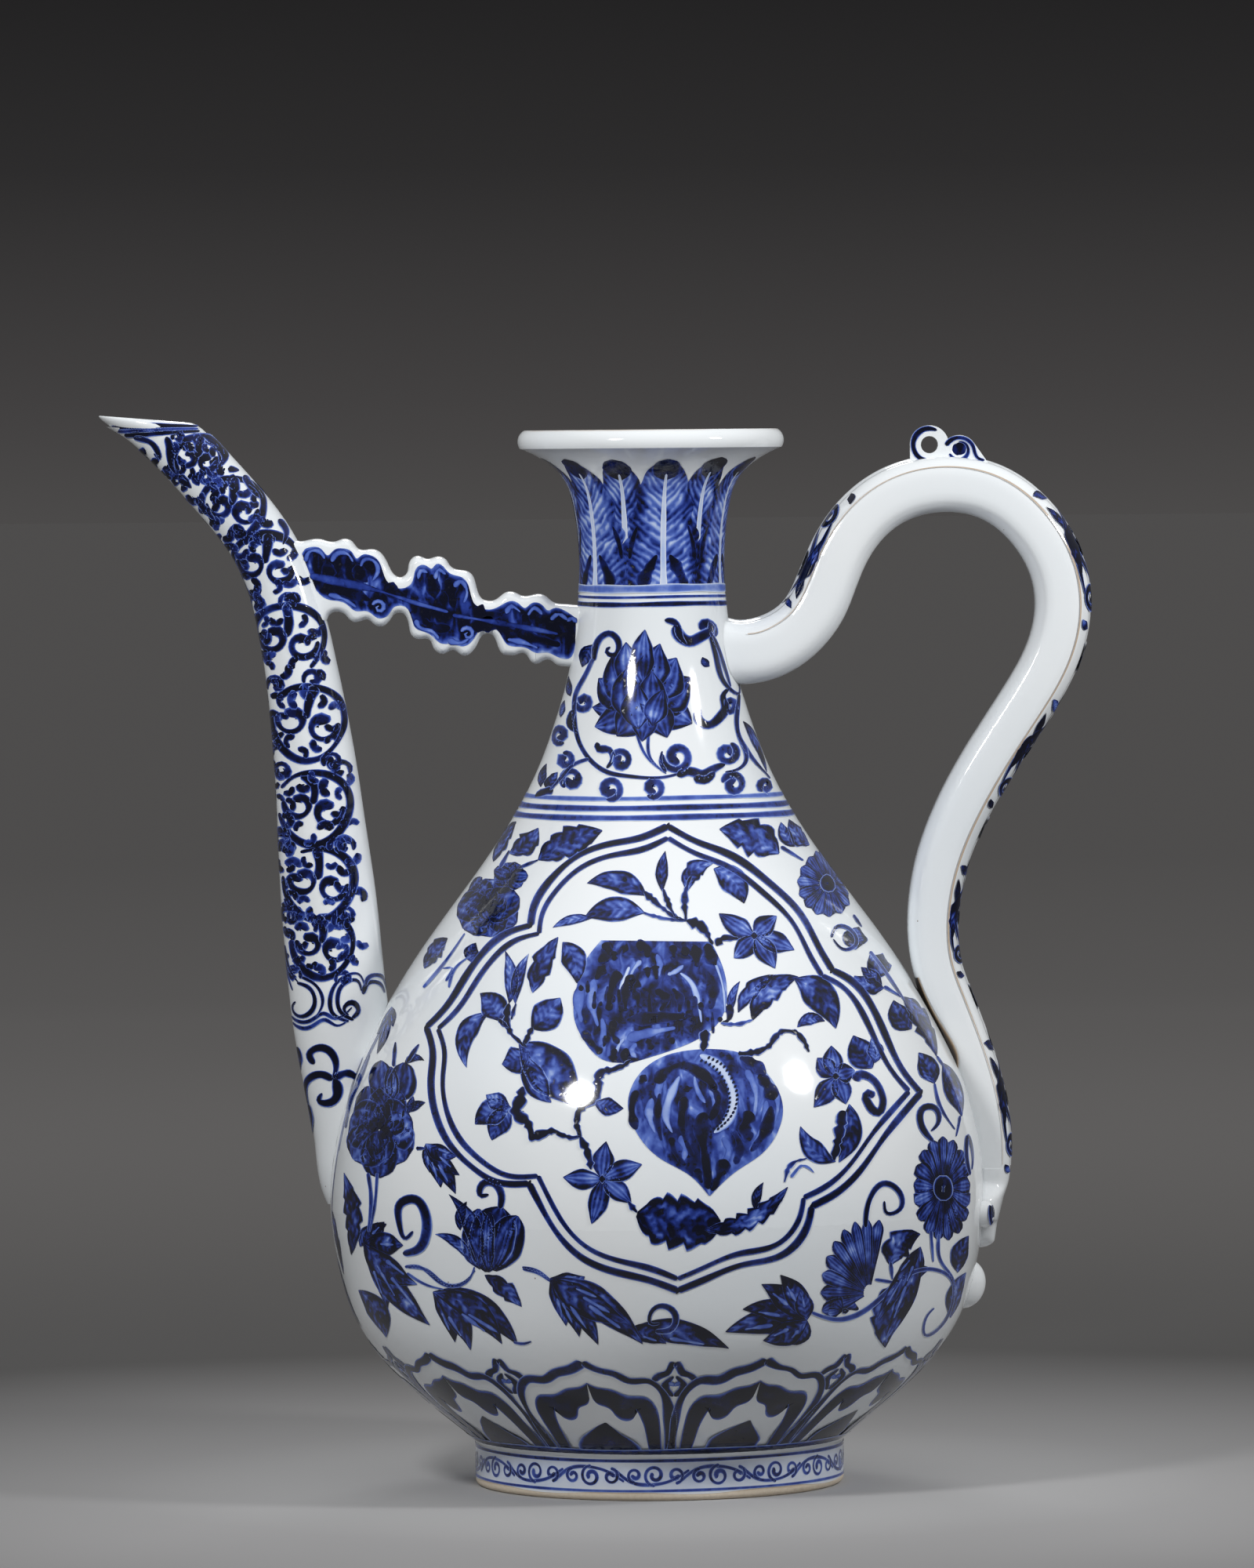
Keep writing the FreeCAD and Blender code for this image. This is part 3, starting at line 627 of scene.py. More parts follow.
def line(piece, place, points, width, tone, ends=(0.7, 0.4), lift=0.14, closed=False,
         spacing=0.9, uneven=0.10, fade=0.14, knots=0.0, finish=LINE):
    """Brush line: width swells from its start and thins to its end, its ends are round, its
    edges fade, and knots turn it into a gnarled twig."""
    share, value, across = drawn_curve(points, min(spacing, 0.3) if knots else spacing, closed)
    length = np.linalg.norm(np.diff(value, axis=0), axis=1).sum()
    if not closed:
        tight = width / 2 / length * np.array([0.06, 0.25, 0.6, 1.0])
        rows = np.unique(np.clip(np.concatenate([share, tight, 1 - tight]), 0, 1))
        value, across = [np.stack([np.interp(rows, share, part[:, i]) for i in (0, 1)], 1)
                         for part in (value, across)]
        share = rows
    swell = np.interp(share, [0, 0.15, 0.6, 1], [ends[0], 1, 0.92, ends[1]])
    if closed:
        swell = np.ones_like(share)
    else:
        off_end = np.clip(np.minimum(share, 1 - share) * length / (width / 2), 0, 1)
        swell *= np.sqrt(np.maximum(1 - (1 - off_end) ** 2, 0.02))
    phase = 2 * math.pi * (share * length / KNOT_SPACING + hand.random())
    bumps = np.sin(phase + 1.3 * np.sin(0.61 * phase))
    half = width / 2 * swell * wobble(share, uneven) * (1 + knots * bumps)
    value = value + across * (0.2 * width * knots * np.cos(share * length * 1.7))[:, None]
    grid = value[:, None] + across[:, None] * (half[:, None] * ACROSS_LINE)[..., None]
    tones = fade + (tone * wobble(share, 0.11)[:, None] - fade) * TONE_ACROSS
    lay(piece, place, grid, np.clip(tones, 0, 1), share[:, None], ACROSS_LINE, lift, finish)


print("A line has", len(ACROSS_LINE), "columns of points across it")

# %% [markdown]
# A leaf or a petal is one press of a full brush. Its outline is a table of half widths, and
# teeth cut it back; the middle line may bow to one side.

# %% Leaves and petals
# Half widths of the brush shapes: shares along them and shares of their half width
BLADES = {
    "leaf": [(0, 0.04), (0.14, 0.52), (0.34, 0.94), (0.5, 1), (0.7, 0.78), (0.88, 0.36), (1, 0.03)],
    "slim": [(0, 0.12), (0.2, 0.62), (0.45, 1), (0.7, 0.8), (0.9, 0.3), (1, 0.03)],
    "petal": [(0, 0.14), (0.3, 0.5), (0.6, 0.9), (0.78, 1), (0.92, 0.78), (1, 0.15)],
    "plantain": [(0, 0.98), (0.28, 1), (0.52, 0.8), (0.72, 0.6), (0.86, 0.46), (0.95, 0.24),
                 (1, 0.03)],
    "mound": [(0, 1), (0.3, 0.95), (0.55, 0.76), (0.78, 0.42), (0.93, 0.16), (1, 0.03)],
    "round": [(0, 0.1), (0.12, 0.62), (0.35, 0.96), (0.55, 1), (0.8, 0.8), (0.93, 0.48), (1, 0.08)],
}
ACROSS_BLADE = np.array([-1.08, -0.9, -0.6, -0.2, 0.2, 0.6, 0.9, 1.08])


def blade(piece, place, base, tip, width, bend, teeth, tone, kind="leaf", veins=6.0, lift=0.12,
          finish=LEAF, bite=0.35, spacing=0.9, lobes=False, rim=0.16, fine=1):
    """Leaf or petal: the middle line bows sideways by the bend, as a share of its length, and
    the half width follows the blade's shape, cut back towards the tip of each tooth."""
    base, tip = np.asarray(base, float), np.asarray(tip, float)
    run = tip - base
    length = np.hypot(*run)
    rows = max(9, int(length / spacing) + 1, teeth * 5 + 1)
    share = np.linspace(0, 1, rows)
    side = np.array([-run[1], run[0]])
    bow = 4 * bend * share * (1 - share)
    value = base + share[:, None] * run + bow[:, None] * side
    slope = run + (4 * bend * (1 - 2 * share))[:, None] * side
    out = np.stack([-slope[:, 1], slope[:, 0]], 1)
    out /= np.linalg.norm(out, axis=1, keepdims=True)
    places = np.linspace(0, len(ACROSS_BLADE) - 1, (len(ACROSS_BLADE) - 1) * fine + 1)
    across = np.interp(places, np.arange(len(ACROSS_BLADE)), ACROSS_BLADE)
    knots, shares = np.array(BLADES[kind]).T
    half = np.maximum(smooth_line(knots, shares)(share)[0][:, 0], 0.02) * width / 2
    half = half[:, None] * np.ones(len(across))
    if teeth:
        shift = np.where(across > 0, 0.5, 0.0)
        notch = np.mod(share[:, None] * teeth + shift, 1.0) ** 1.5
        if lobes:
            notch = 0.5 - 0.5 * np.cos(2 * math.pi * (share[:, None] * teeth + shift))
        cut = bite * notch * np.sin(math.pi * np.clip(share * 1.1, 0, 1))[:, None]
        half *= 1 - cut * np.clip(np.abs(across) * 2 - 0.4, 0, 1)
    half *= wobble(share, 0.05)[:, None]
    grid = value[:, None] + out[:, None] * (half * across)[..., None]
    edge = np.interp(np.abs(across), [0, 0.9, 1.08], [1, 1, rim])
    tones = tone * edge * wobble(share, 0.06)[:, None]
    lay(piece, place, grid, np.clip(tones, 0, 1), share[:, None] * veins, across, lift, finish)


print("Shapes of a blade:", list(BLADES))

# %% [markdown]
# A wash fills the area between two lines, a curl is a spiral of points, and a ring is held
# against the turning pot.

# %% Washes, curls and rings


def between_lines(piece, place, left, right, tone, columns=11, lift=0.10, finish=FRUIT,
                  spacing=1.2, soft=0.5):
    """Area of wash between two drawn curves that run the same way."""
    share, first, _ = drawn_curve(left, spacing)
    other = drawn_curve(right, spacing)
    second = np.stack([np.interp(share, other[0], other[1][:, i]) for i in (0, 1)], 1)
    cross = np.linspace(0, 1, columns)
    cross = cross + 0.07 * np.sin(2 * math.pi * cross)  # packs the columns near both edges
    grid = first[:, None] * (1 - cross)[:, None] + second[:, None] * cross[:, None]
    edge = np.ones(columns)
    edge[[0, -1]] = soft
    lay(piece, place, grid, np.clip(tone * edge * wobble(share, 0.05)[:, None], 0, 1),
        share[:, None], cross * 2 - 1, lift, finish)


def curl_points(x, y, radius, turns, start, inner=0.2, steps=9):
    """Points of a spiral that winds inwards from its start angle in degrees; negative turns
    wind the other way."""
    share = np.linspace(0, 1, max(5, int(abs(turns) * steps) + 2))
    angle = math.radians(start) + 2 * math.pi * turns * share
    size = radius * (1 - (1 - inner) * share)
    return np.stack([x + size * np.cos(angle), y + size * np.sin(angle)], 1)


def ring(piece, outline, level, width, tone, lift=0.12):
    """Line right round the pot, drawn on the turning wheel."""
    turn = np.linspace(0, 360, 145)
    share = turn / 360
    half = width / 2 * (1 + 0.10 * np.sin(math.radians(7 * 360) * share))
    middle = level + 0.12 * np.sin(math.radians(3 * 360) * share)
    levels_here = middle[:, None] + half[:, None] * ACROSS_LINE
    grid = np.stack([np.broadcast_to(turn[:, None], levels_here.shape), levels_here], -1)
    tones = tone * (1 + 0.10 * np.sin(math.radians(5 * 360) * share))[:, None] * TONE_ACROSS
    lay(piece, round_pot(outline), grid, np.maximum(tones, 0.1 * tone), share[:, None], ACROSS_LINE,
        lift)


print("A curl of one turn has", len(curl_points(0, 0, 1, 1, 0)), "points")

# %% [markdown]
# The class below is the painter's hand: it keeps the piece, the surface and the view that its
# points are read in, so that a whole branch is only rows of points.

# %% The painter's brush
# The blue runs a little wider than it is drawn
LINE_SPREAD, LEAF_SPREAD = 1.15, 1.12


class Brush:
    """A brush at work on one piece of the painting. Points and widths are given in a view of
    the photograph (left, top, enlargement) or, without a view, in millimetres. A function in
    the view's place turns the points of a drawing into millimetres."""

    def __init__(self, piece, place, view=None):
        self.piece, self.place, self.view = piece, place, view
        drawn = view is None or callable(view)
        self.size = 1.0 if drawn else 1 / (PIXELS_PER_MM * view[2])

    def points(self, points):
        """Points in millimetres."""
        points = np.asarray(points, float).reshape(-1, 2)
        if self.view is None or callable(self.view):
            return self.view(points) if self.view else points
        return from_photo(points / self.view[2] + np.array(self.view[:2]))

    def line(self, points, width, tone, **more):
        """One stroke through the points."""
        width = LINE_SPREAD * width * self.size
        line(self.piece, self.place, self.points(points), width, tone, **more)

    def lines(self, rows, **more):
        """Rows of width, tone and points."""
        for width, tone, *points in rows:
            self.line(points, width, tone, **more)

    def leaf(self, x, y, tip_x, tip_y, width, bend=0.0, teeth=0, tone=0.62, **more):
        """One leaf or petal from its base to its tip."""
        width = LEAF_SPREAD * width * self.size
        blade(self.piece, self.place, *self.points([x, y, tip_x, tip_y]), width, bend, teeth, tone,
              **more)

    def leaves(self, rows, **more):
        """Rows of base, tip, width and, where they have them, bow and teeth."""
        for row in rows:
            self.leaf(*row, **more)

    def frond(self, x, y, rows):
        """Jagged leaf laid down as a bundle of pointed strokes from one place. Rows of tip,
        width and bow."""
        for order, (tip_x, tip_y, width, *bow) in enumerate(rows):
            self.leaf(x, y, tip_x, tip_y, width, *bow, tone=0.8 * hand.uniform(0.88, 1.1),
                      lift=0.12 + 0.007 * order, rim=0.35)
            way = np.array([tip_x - x, tip_y - y])
            self.line([(x, y) + share * way for share in (0.42, 0.6, 0.76)], 0.13 * width,
                      0.32, fade=0.6, lift=0.16 + 0.007 * order, uneven=0.3)

    def wash(self, left, right, tone, **more):
        """Patch between two drawn edges."""
        between_lines(self.piece, self.place, self.points(left), self.points(right), tone, **more)

    def dabs(self, points, count, length, width):
        """Row of short dark dabs, roughly square to a drawn curve."""
        share, value, across = drawn_curve(self.points(points))
        for at in (np.arange(count) + hand.uniform(0.2, 0.8, count)) / count:
            middle = np.array([np.interp(at, share, value[:, i]) for i in (0, 1)])
            way = np.array([np.interp(at, share, across[:, i]) for i in (0, 1)])
            way = way + 0.3 * np.array([way[1], -way[0]]) * hand.uniform(-3, 5)
            middle = middle + way * length * self.size * hand.uniform(-0.35, 0.35)
            reach = way * length * self.size / 2 * hand.uniform(0.35, 0.8)
            line(self.piece, self.place, [middle - reach, middle + 0.1 * reach, middle + reach],
                 width * self.size * hand.uniform(0.8, 1.3), hand.uniform(0.9, 1.05),
                 fade=0.8, lift=0.2 + 0.01 * hand.random(), spacing=0.6)

    def peony(self, x, y, wide, high, turn):
        """Full flower: broad outer petals, two smaller rings over them, and a dabbed heart."""
        for layer, (reach, petals) in enumerate(((1.0, 7), (0.66, 6), (0.38, 5))):
            self.rosette(x, y, wide * reach, high * reach, petals, turn + 23 * layer, plump=1.45,
                         heart=0.05, tone=0.74 + 0.05 * layer, kind="round", hub=0)
        heart = [x - 0.2 * wide, y, x, y - 0.16 * high, x + 0.2 * wide, y, x, y + 0.16 * high]
        self.dabs(heart, 7, 0.3 * wide, 0.16 * wide)

    def rosette(self, x, y, wide, high, petals, start, sweep=360.0, heart=0.2, plump=1.15,
                tone=0.7, kind="petal", hub=0.26):
        """Open flower: petals round a heart, in an ellipse, or a fan over part of the turn."""
        middle, reach = self.points([x, y])[0], np.array([wide, high]) * self.size
        room = plump * 2 * math.pi * sweep / 360 / petals
        for angle in np.radians(start + sweep * np.arange(petals) / petals):
            way = np.array([math.cos(angle), math.sin(angle)]) * reach
            across = np.hypot(*(np.array([-math.sin(angle), math.cos(angle)]) * reach))
            blade(self.piece, self.place, middle + heart * way, middle + way,
                  0.8 * room * across, 0.0, 0, tone * (1 + 0.08 * hand.uniform(-1, 1)), kind,
                  1.0, finish=PETAL, lift=0.12 + 0.008 * hand.random(), rim=0.3)
        if hub:
            turn = np.linspace(0, 2 * math.pi, 13)[:-1]
            ring = middle + hub * 0.5 * np.stack([np.cos(turn), np.sin(turn)], 1) * reach
            line(self.piece, self.place, np.concatenate([ring, ring[:1]]),
                 hub * reach.min(), 0.95, closed=True, lift=0.16, spacing=0.6)


print("A brush for lines, blades, washes and open flowers is ready")

# %% [markdown]
# Six finishes for the marks. A line is plain pigment; a leaf has slanting veins, a dark rim
# and a lighter midrib, and a plantain leaf has more of them; a petal has streaks along it; a
# fruit has a mottled, dabbed wash, and a stain is the brown that the kiln leaves where glaze
# is thin; at its darkest the stain finish is near black and paints shade into the cleft under
# the handle. All get the same glass skin as the white glaze, because the painting lies under it.

# %% Finishes of the painting


def painted(name, tone_of):
    """Finish whose tone is worked out from the brush's tone and its own map."""
    material = fresh_material(name)
    tree = material.node_tree
    brush_tone = add(tree, "Attribute", attribute_name="tone").outputs["Fac"]
    own_map = add(tree, "SeparateXYZ", [add(tree, "UVMap", uv_map="brush").outputs[0]]).outputs
    tone = tone_of(tree, brush_tone, own_map["X"], own_map["Y"])
    paint = use_group(tree, cobalt, {"Tone": tone})
    glaze = use_group(tree, skin)
    roughness = calc(tree, "MULTIPLY_ADD", paint["Heaped"], 0.22, glaze["Roughness"])
    height = calc(tree, "MULTIPLY_ADD", paint["Heaped"], -0.12, glaze["Height"])
    return glazed(material, paint["Color"], roughness, height)


def stain_and_shade_finish(name):
    """Brown of iron and soot, as strong as the mark's tone; near full tone it is almost black, and there
    it paints shade.
    """
    material = fresh_material(name)
    tree = material.node_tree
    strength = add(tree, "Attribute", attribute_name="tone").outputs["Fac"]
    glaze = use_group(tree, skin)
    brown = ramp(tree, strength, [(0.0, GLAZE_WHITE), (0.35, (0.42, 0.30, 0.19)),
                                  (0.65, (0.12, 0.075, 0.04)), (1.0, (0.018, 0.012, 0.010))])
    return glazed(material, brown, glaze["Roughness"], glaze["Height"])


def line_tone(tree, tone, along, across):
    """Plain pigment."""
    return tone


def blots_on(tree):
    """Slow unevenness of a wash, round zero."""
    return calc(tree, "SUBTRACT", noise(tree, place_on(tree), 210.0, 2.0), 0.5)


def veined(slant, depth):
    """Veins slant from the midrib towards the tip; the rim is dark and the midrib pale."""
    def tone_of(tree, tone, along, across):
        side, blots = calc(tree, "ABSOLUTE", across), blots_on(tree)
        phase = calc(tree, "MULTIPLY_ADD", blots, 1.6, along)
        phase = calc(tree, "MULTIPLY_ADD", side, -slant, phase)
        wave = calc(tree, "SINE", calc(tree, "MULTIPLY", phase, 2 * math.pi))
        vein = calc(tree, "MULTIPLY_ADD", wave, depth, 0.88)
        vein = calc(tree, "MULTIPLY_ADD", blots, 1.7, vein)
        rim = calc(tree, "MULTIPLY_ADD", side, 3.0, -1.9, clamp=True)
        midrib = calc(tree, "MULTIPLY_ADD", side, -9.0, 1.0, clamp=True)
        shaped = calc(tree, "MULTIPLY", tone, calc(tree, "MULTIPLY_ADD", rim, 0.75, vein))
        return calc(tree, "MULTIPLY_ADD", midrib, -0.08, shaped)
    return tone_of


def petal_tone(tree, tone, along, across):
    """Streaks run along the petal; its rim and its foot are darker than its middle."""
    side = calc(tree, "ABSOLUTE", across)
    streak = calc(tree, "SINE", calc(tree, "MULTIPLY", across, 13.0))
    rim = calc(tree, "MULTIPLY_ADD", side, 2.6, -1.5, clamp=True)
    foot = calc(tree, "MULTIPLY_ADD", along, -1.6, 0.9, clamp=True)
    share = calc(tree, "MULTIPLY_ADD", streak, 0.13, 0.74)
    share = calc(tree, "MULTIPLY_ADD", rim, 0.8, share)
    share = calc(tree, "MULTIPLY_ADD", foot, 0.42, share)
    share = calc(tree, "MULTIPLY_ADD", blots_on(tree), 1.1, share)
    return calc(tree, "MULTIPLY", tone, share)


def fruit_tone(tree, tone, along, across):
    """Dabs of a loaded brush: pale and dark blotches a few millimetres long."""
    upright = add(tree, "Mapping", {"Vector": place_on(tree), "Scale": (1.0, 1.0, 0.45)}).outputs[0]
    dabs = noise(tree, upright, 260.0, 2.0, Distortion=0.6)
    rim = calc(tree, "MULTIPLY_ADD", calc(tree, "ABSOLUTE", across), 3.0, -2.1, clamp=True)
    share = calc(tree, "MULTIPLY_ADD", calc(tree, "SUBTRACT", dabs, 0.5), 2.6, 1.0)
    return calc(tree, "MULTIPLY", tone, calc(tree, "MULTIPLY_ADD", rim, 0.25, share))


paint_finishes = [painted("brush_line", line_tone), painted("leaf_wash", veined(1.2, 0.13)),
                  painted("petal_wash", petal_tone), painted("fruit_wash", fruit_tone),
                  painted("plantain_wash", veined(3.0, 0.27)), stain_and_shade_finish("kiln_stain")]


def grid_faces(index):
    """Four-sided faces between the neighbours in a grid of corner numbers."""
    faces = np.stack([index[:-1, :-1], index[1:, :-1], index[1:, 1:], index[:-1, 1:]], -1)
    return faces.reshape(-1, 4)


def finish_painting(piece):
    """Joins the gathered marks of a piece into one mesh that rides on the pot."""
    corners, outs, tones, maps, faces, finishes = [], [], [], [], [], []
    first = 0
    for low, out, tone, own_map, finish in painting.pop(piece):
        rows, columns = low.shape[:2]
        quads = grid_faces(first + np.arange(rows * columns).reshape(rows, columns))
        along, across = low[1:, :-1] - low[:-1, :-1], low[:-1, 1:] - low[:-1, :-1]
        facing = (np.cross(along, across) * out[:-1, :-1]).sum()
        faces.append(quads if facing > 0 else quads[:, ::-1])
        corners.append(low.reshape(-1, 3))
        outs.append(out.reshape(-1, 3))
        tones.append(tone.ravel())
        maps.append(own_map.reshape(-1, 2))
        finishes.append(np.full(len(quads), finish))
        first += rows * columns
    faces = np.concatenate(faces)
    mesh = bpy.data.meshes.new(piece)
    mesh.from_pydata(np.concatenate(corners) * MM, [], faces)
    mesh.attributes.new("tone", "FLOAT", "POINT").data.foreach_set("value", np.concatenate(tones))
    mesh.uv_layers.new(name="brush").uv.foreach_set(
        "vector", np.concatenate(maps)[faces.ravel()].ravel())
    for material in paint_finishes:
        mesh.materials.append(material)
    mesh.polygons.foreach_set("material_index", np.concatenate(finishes).astype(np.int32))
    mesh.polygons.foreach_set("use_smooth", np.ones(len(faces), bool))
    mesh.normals_split_custom_set_from_vertices(np.concatenate(outs))
    made = linked(piece, mesh)
    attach(made, "root")
    print(piece, "has", len(faces), "faces")


print("Finishes of the painting:", [material.name for material in paint_finishes])

# %% [markdown]
# The medallion is the main picture on each flank: a frame of two lines drawn out into
# cusps, with a branch of peaches, leaves and blossoms inside. Such pots carry the same picture
# on both flanks, so it is painted once from the front and once mirrored on the back. The
# points are read off enlarged views of the photograph.

# %% Medallion frame
WHOLE, VIEW_A = (0, 0, 1), (540, 1040, 2.45)
FRAME_ARCS = [
    [852, 1054, 887, 1073, 932, 1091, 981, 1126, 1022, 1167, 1046, 1211, 1062, 1238],
    [1062, 1238, 1087, 1252, 1115, 1289, 1132, 1326, 1152, 1366, 1175, 1395],
    [1175, 1395, 1152, 1422, 1128, 1452, 1099, 1493, 1066, 1524, 1036, 1540],
    [1036, 1540, 1030, 1566, 997, 1603, 948, 1615, 899, 1634, 865, 1648],
    [865, 1648, 826, 1634, 785, 1624, 744, 1607, 711, 1575, 691, 1542, 675, 1511],
    [675, 1511, 634, 1509, 601, 1489, 573, 1460, 556, 1424, 550, 1375, 552, 1342, 544, 1311],
    [544, 1311, 569, 1285, 593, 1248, 617, 1215, 646, 1191, 677, 1181],
    [677, 1181, 681, 1158, 703, 1122, 736, 1093, 777, 1077, 817, 1069, 852, 1054]]
MIDDLE, FRAME_GAP = np.array([858.0, 1352.0]), 15
FLANKS = ((-1, "front"), (1, "back"))


def paint_frame(brush):
    """Outer line of each arc, and an inner one the same distance nearer the middle."""
    for arc in FRAME_ARCS:
        outer = np.reshape(arc, (-1, 2)).astype(float)
        reach = np.linalg.norm(outer - MIDDLE, axis=1, keepdims=True)
        brush.line(outer, 6.4, 0.86, ends=(1, 1), uneven=0.12, fade=0.3)
        brush.line([outer[-1] - (2, 1), outer[-1] + (2, 1)], 9, 0.9, ends=(1, 1), lift=0.16, fade=0.8)
        brush.line(MIDDLE + (outer - MIDDLE) * (1 - FRAME_GAP / reach), 5.0, 0.78, ends=(1, 1),
                   uneven=0.14, fade=0.3)


print("The frame has", len(FRAME_ARCS), "arcs")

# %% [markdown]
# Two fruits hang in the middle. Their wash is dabbed with a loaded brush; beads follow the
# pale cleft of the lower peach. Knotted twigs are drawn unevenly and almost black.

# %% Fruits and twigs of the medallion
# Rows of width, tone and points, in the enlarged view
TWIGS = [
    (13, 0.8, 690, 240, 740, 285, 790, 320, 822, 332), (11, 0.8, 750, 232, 772, 290, 790, 322),
    (9, 0.6, 688, 306, 760, 325, 820, 330), (13, 0.8, 822, 330, 820, 240, 838, 190),
    (20, 1.0, 822, 332, 870, 350, 890, 378, 905, 405), (17, 0.9, 918, 410, 925, 395, 985, 388),
    (15, 0.95, 268, 590, 265, 665, 290, 700, 322, 725), (9, 0.7, 290, 590, 275, 640),
    (12, 0.8, 235, 640, 268, 668), (14, 0.9, 342, 664, 314, 722),
    (22, 1.0, 310, 850, 300, 900, 290, 930, 330, 970, 340, 1005, 400, 990, 440, 1005, 492, 1008),
    (20, 0.98, 492, 1010, 480, 960, 500, 910, 545, 870, 552, 812, 600, 795, 650, 768),
    (20, 0.95, 490, 1008, 515, 1060, 525, 1110), (24, 1.0, 882, 672, 876, 740),
    (9, 0.5, 930, 652, 980, 655, 1032, 640), (12, 0.8, 640, 1210, 668, 1245),
    (15, 1.0, 985, 748, 1040, 742, 1085, 718, 1110, 685, 1162, 680, 1192, 712, 1206, 742),
    (9, 0.6, 1130, 1150, 1150, 1095, 1200, 1075), (8, 0.4, 1150, 1135, 1190, 1098, 1222, 1120),
    (26, 1.0, 1312, 925, 1300, 1000, 1284, 1080)]
# Strokes on the fruits: width, tone and points, in the whole picture
PALE_STROKES = [
    (9, 0.34, 742, 1258, 738, 1280, 742, 1305), (8, 0.32, 758, 1250, 755, 1275, 763, 1310),
    (6, 0.36, 768, 1300, 770, 1320, 765, 1335), (5, 0.08, 803, 1234, 795, 1256, 790, 1290),
    (4, 0.22, 818, 1226, 808, 1238, 803, 1250), (5, 0.3, 838, 1218, 842, 1230, 841, 1246),
    (5, 0.16, 868, 1242, 880, 1252, 890, 1275, 895, 1305), (5, 0.22, 852, 1244, 862, 1240, 872, 1232),
    (3, 0.16, 913, 1230, 922, 1258, 925, 1292), (8, 0.34, 800, 1326, 830, 1318, 862, 1312),
    (4, 0.2, 796, 1326, 790, 1334, 786, 1346), (6, 0.3, 812, 1332, 806, 1342, 812, 1350),
    (11, 0.1, 893, 1347, 914, 1358, 930, 1380, 936, 1402, 933, 1422, 924, 1436, 911, 1446),
    (8, 0.2, 867, 1374, 855, 1400, 850, 1428, 858, 1446), (5, 0.26, 886, 1374, 890, 1392, 900, 1408),
    (7, 0.3, 832, 1402, 829, 1425, 836, 1446), (6, 0.34, 846, 1378, 840, 1390, 842, 1410),
    (5, 0.3, 905, 1392, 912, 1404, 908, 1416), (6, 0.32, 952, 1366, 964, 1392, 962, 1425),
    (7, 0.34, 868, 1450, 874, 1466, 872, 1482), (5, 0.32, 978, 1405, 974, 1435, 956, 1468),
    (7, 0.36, 922, 1452, 930, 1468, 920, 1490), (4, 0.3, 990, 1392, 992, 1420, 984, 1440)]
DARK_STROKES = [
    (11, 1.0, 768, 1206, 776, 1210, 764, 1228), (7, 1.0, 783, 1214, 784, 1226),
    (9, 1.0, 793, 1208, 802, 1212), (10, 1.0, 812, 1208, 824, 1208, 826, 1222),
    (7, 0.95, 858, 1206, 860, 1222), (9, 1.0, 872, 1202, 876, 1220), (10, 1.0, 886, 1206, 890, 1234),
    (10, 1.0, 902, 1204, 906, 1218, 914, 1232), (8, 0.95, 772, 1232, 760, 1250),
    (9, 1.0, 790, 1240, 780, 1262, 777, 1290), (9, 0.98, 808, 1244, 800, 1262, 798, 1288),
    (10, 1.0, 814, 1250, 808, 1262, 816, 1276), (6, 0.95, 826, 1234, 827, 1248),
    (6, 1.0, 835, 1232, 838, 1250), (8, 0.9, 836, 1264, 850, 1276, 842, 1290),
    (7, 0.85, 858, 1262, 868, 1276, 866, 1292), (10, 0.9, 800, 1302, 830, 1300, 856, 1298, 884, 1297),
    (7, 1.0, 876, 1290, 888, 1304), (7, 1.0, 832, 1298, 838, 1306),
    (8, 0.95, 784, 1302, 782, 1320, 790, 1332), (6, 1.0, 776, 1322, 770, 1336),
    (8, 1.0, 784, 1338, 782, 1356), (9, 1.0, 800, 1338, 798, 1350, 812, 1352),
    (7, 0.9, 826, 1326, 832, 1340), (7, 0.9, 852, 1322, 860, 1332),
    (8, 0.85, 744, 1316, 754, 1330, 768, 1344), (7, 0.8, 874, 1318, 884, 1308),
    (6, 0.9, 930, 1282, 930, 1300, 922, 1308), (9, 0.8, 902, 1240, 910, 1264, 906, 1288),
    (10, 0.95, 836, 1382, 852, 1366, 870, 1360, 888, 1366, 904, 1378, 914, 1392),
    (8, 1.0, 813, 1392, 806, 1416, 812, 1442), (6, 0.85, 824, 1372, 816, 1384),
    (9, 1.0, 876, 1386, 878, 1394), (6, 0.85, 842, 1396, 839, 1430, 844, 1456),
    (7, 0.85, 874, 1400, 870, 1436, 884, 1476), (6, 0.8, 856, 1452, 862, 1472, 874, 1488),
    (12, 0.95, 899, 1420, 896, 1450, 900, 1478, 904, 1518), (8, 0.95, 905, 1384, 916, 1400, 906, 1430),
    (10, 0.8, 944, 1350, 962, 1358, 976, 1374), (12, 0.9, 968, 1372, 980, 1386, 988, 1404),
    (13, 0.9, 960, 1420, 950, 1440, 958, 1456), (9, 0.85, 984, 1412, 978, 1440, 958, 1470),
    (10, 0.9, 926, 1480, 918, 1500, 908, 1520), (8, 0.8, 936, 1444, 944, 1462, 938, 1486),
    (7, 0.85, 888, 1492, 896, 1510), (6, 0.75, 918, 1345, 936, 1352)]
# Beads along the cleft of the lower peach, and a band of small dabs across the upper one
CLEFT = np.reshape([895, 1354, 913, 1364, 925, 1382, 931, 1402, 928, 1420, 919, 1434, 907, 1445],
                   (-1, 2))
BEAD_SPACING, BEAD_ROWS = 5.6, (0, 9.5)
BAND_LEFT, BAND_RIGHT, BAND_SPACING, BAND_FALL = 742, 925, 8.0, 40 / 195


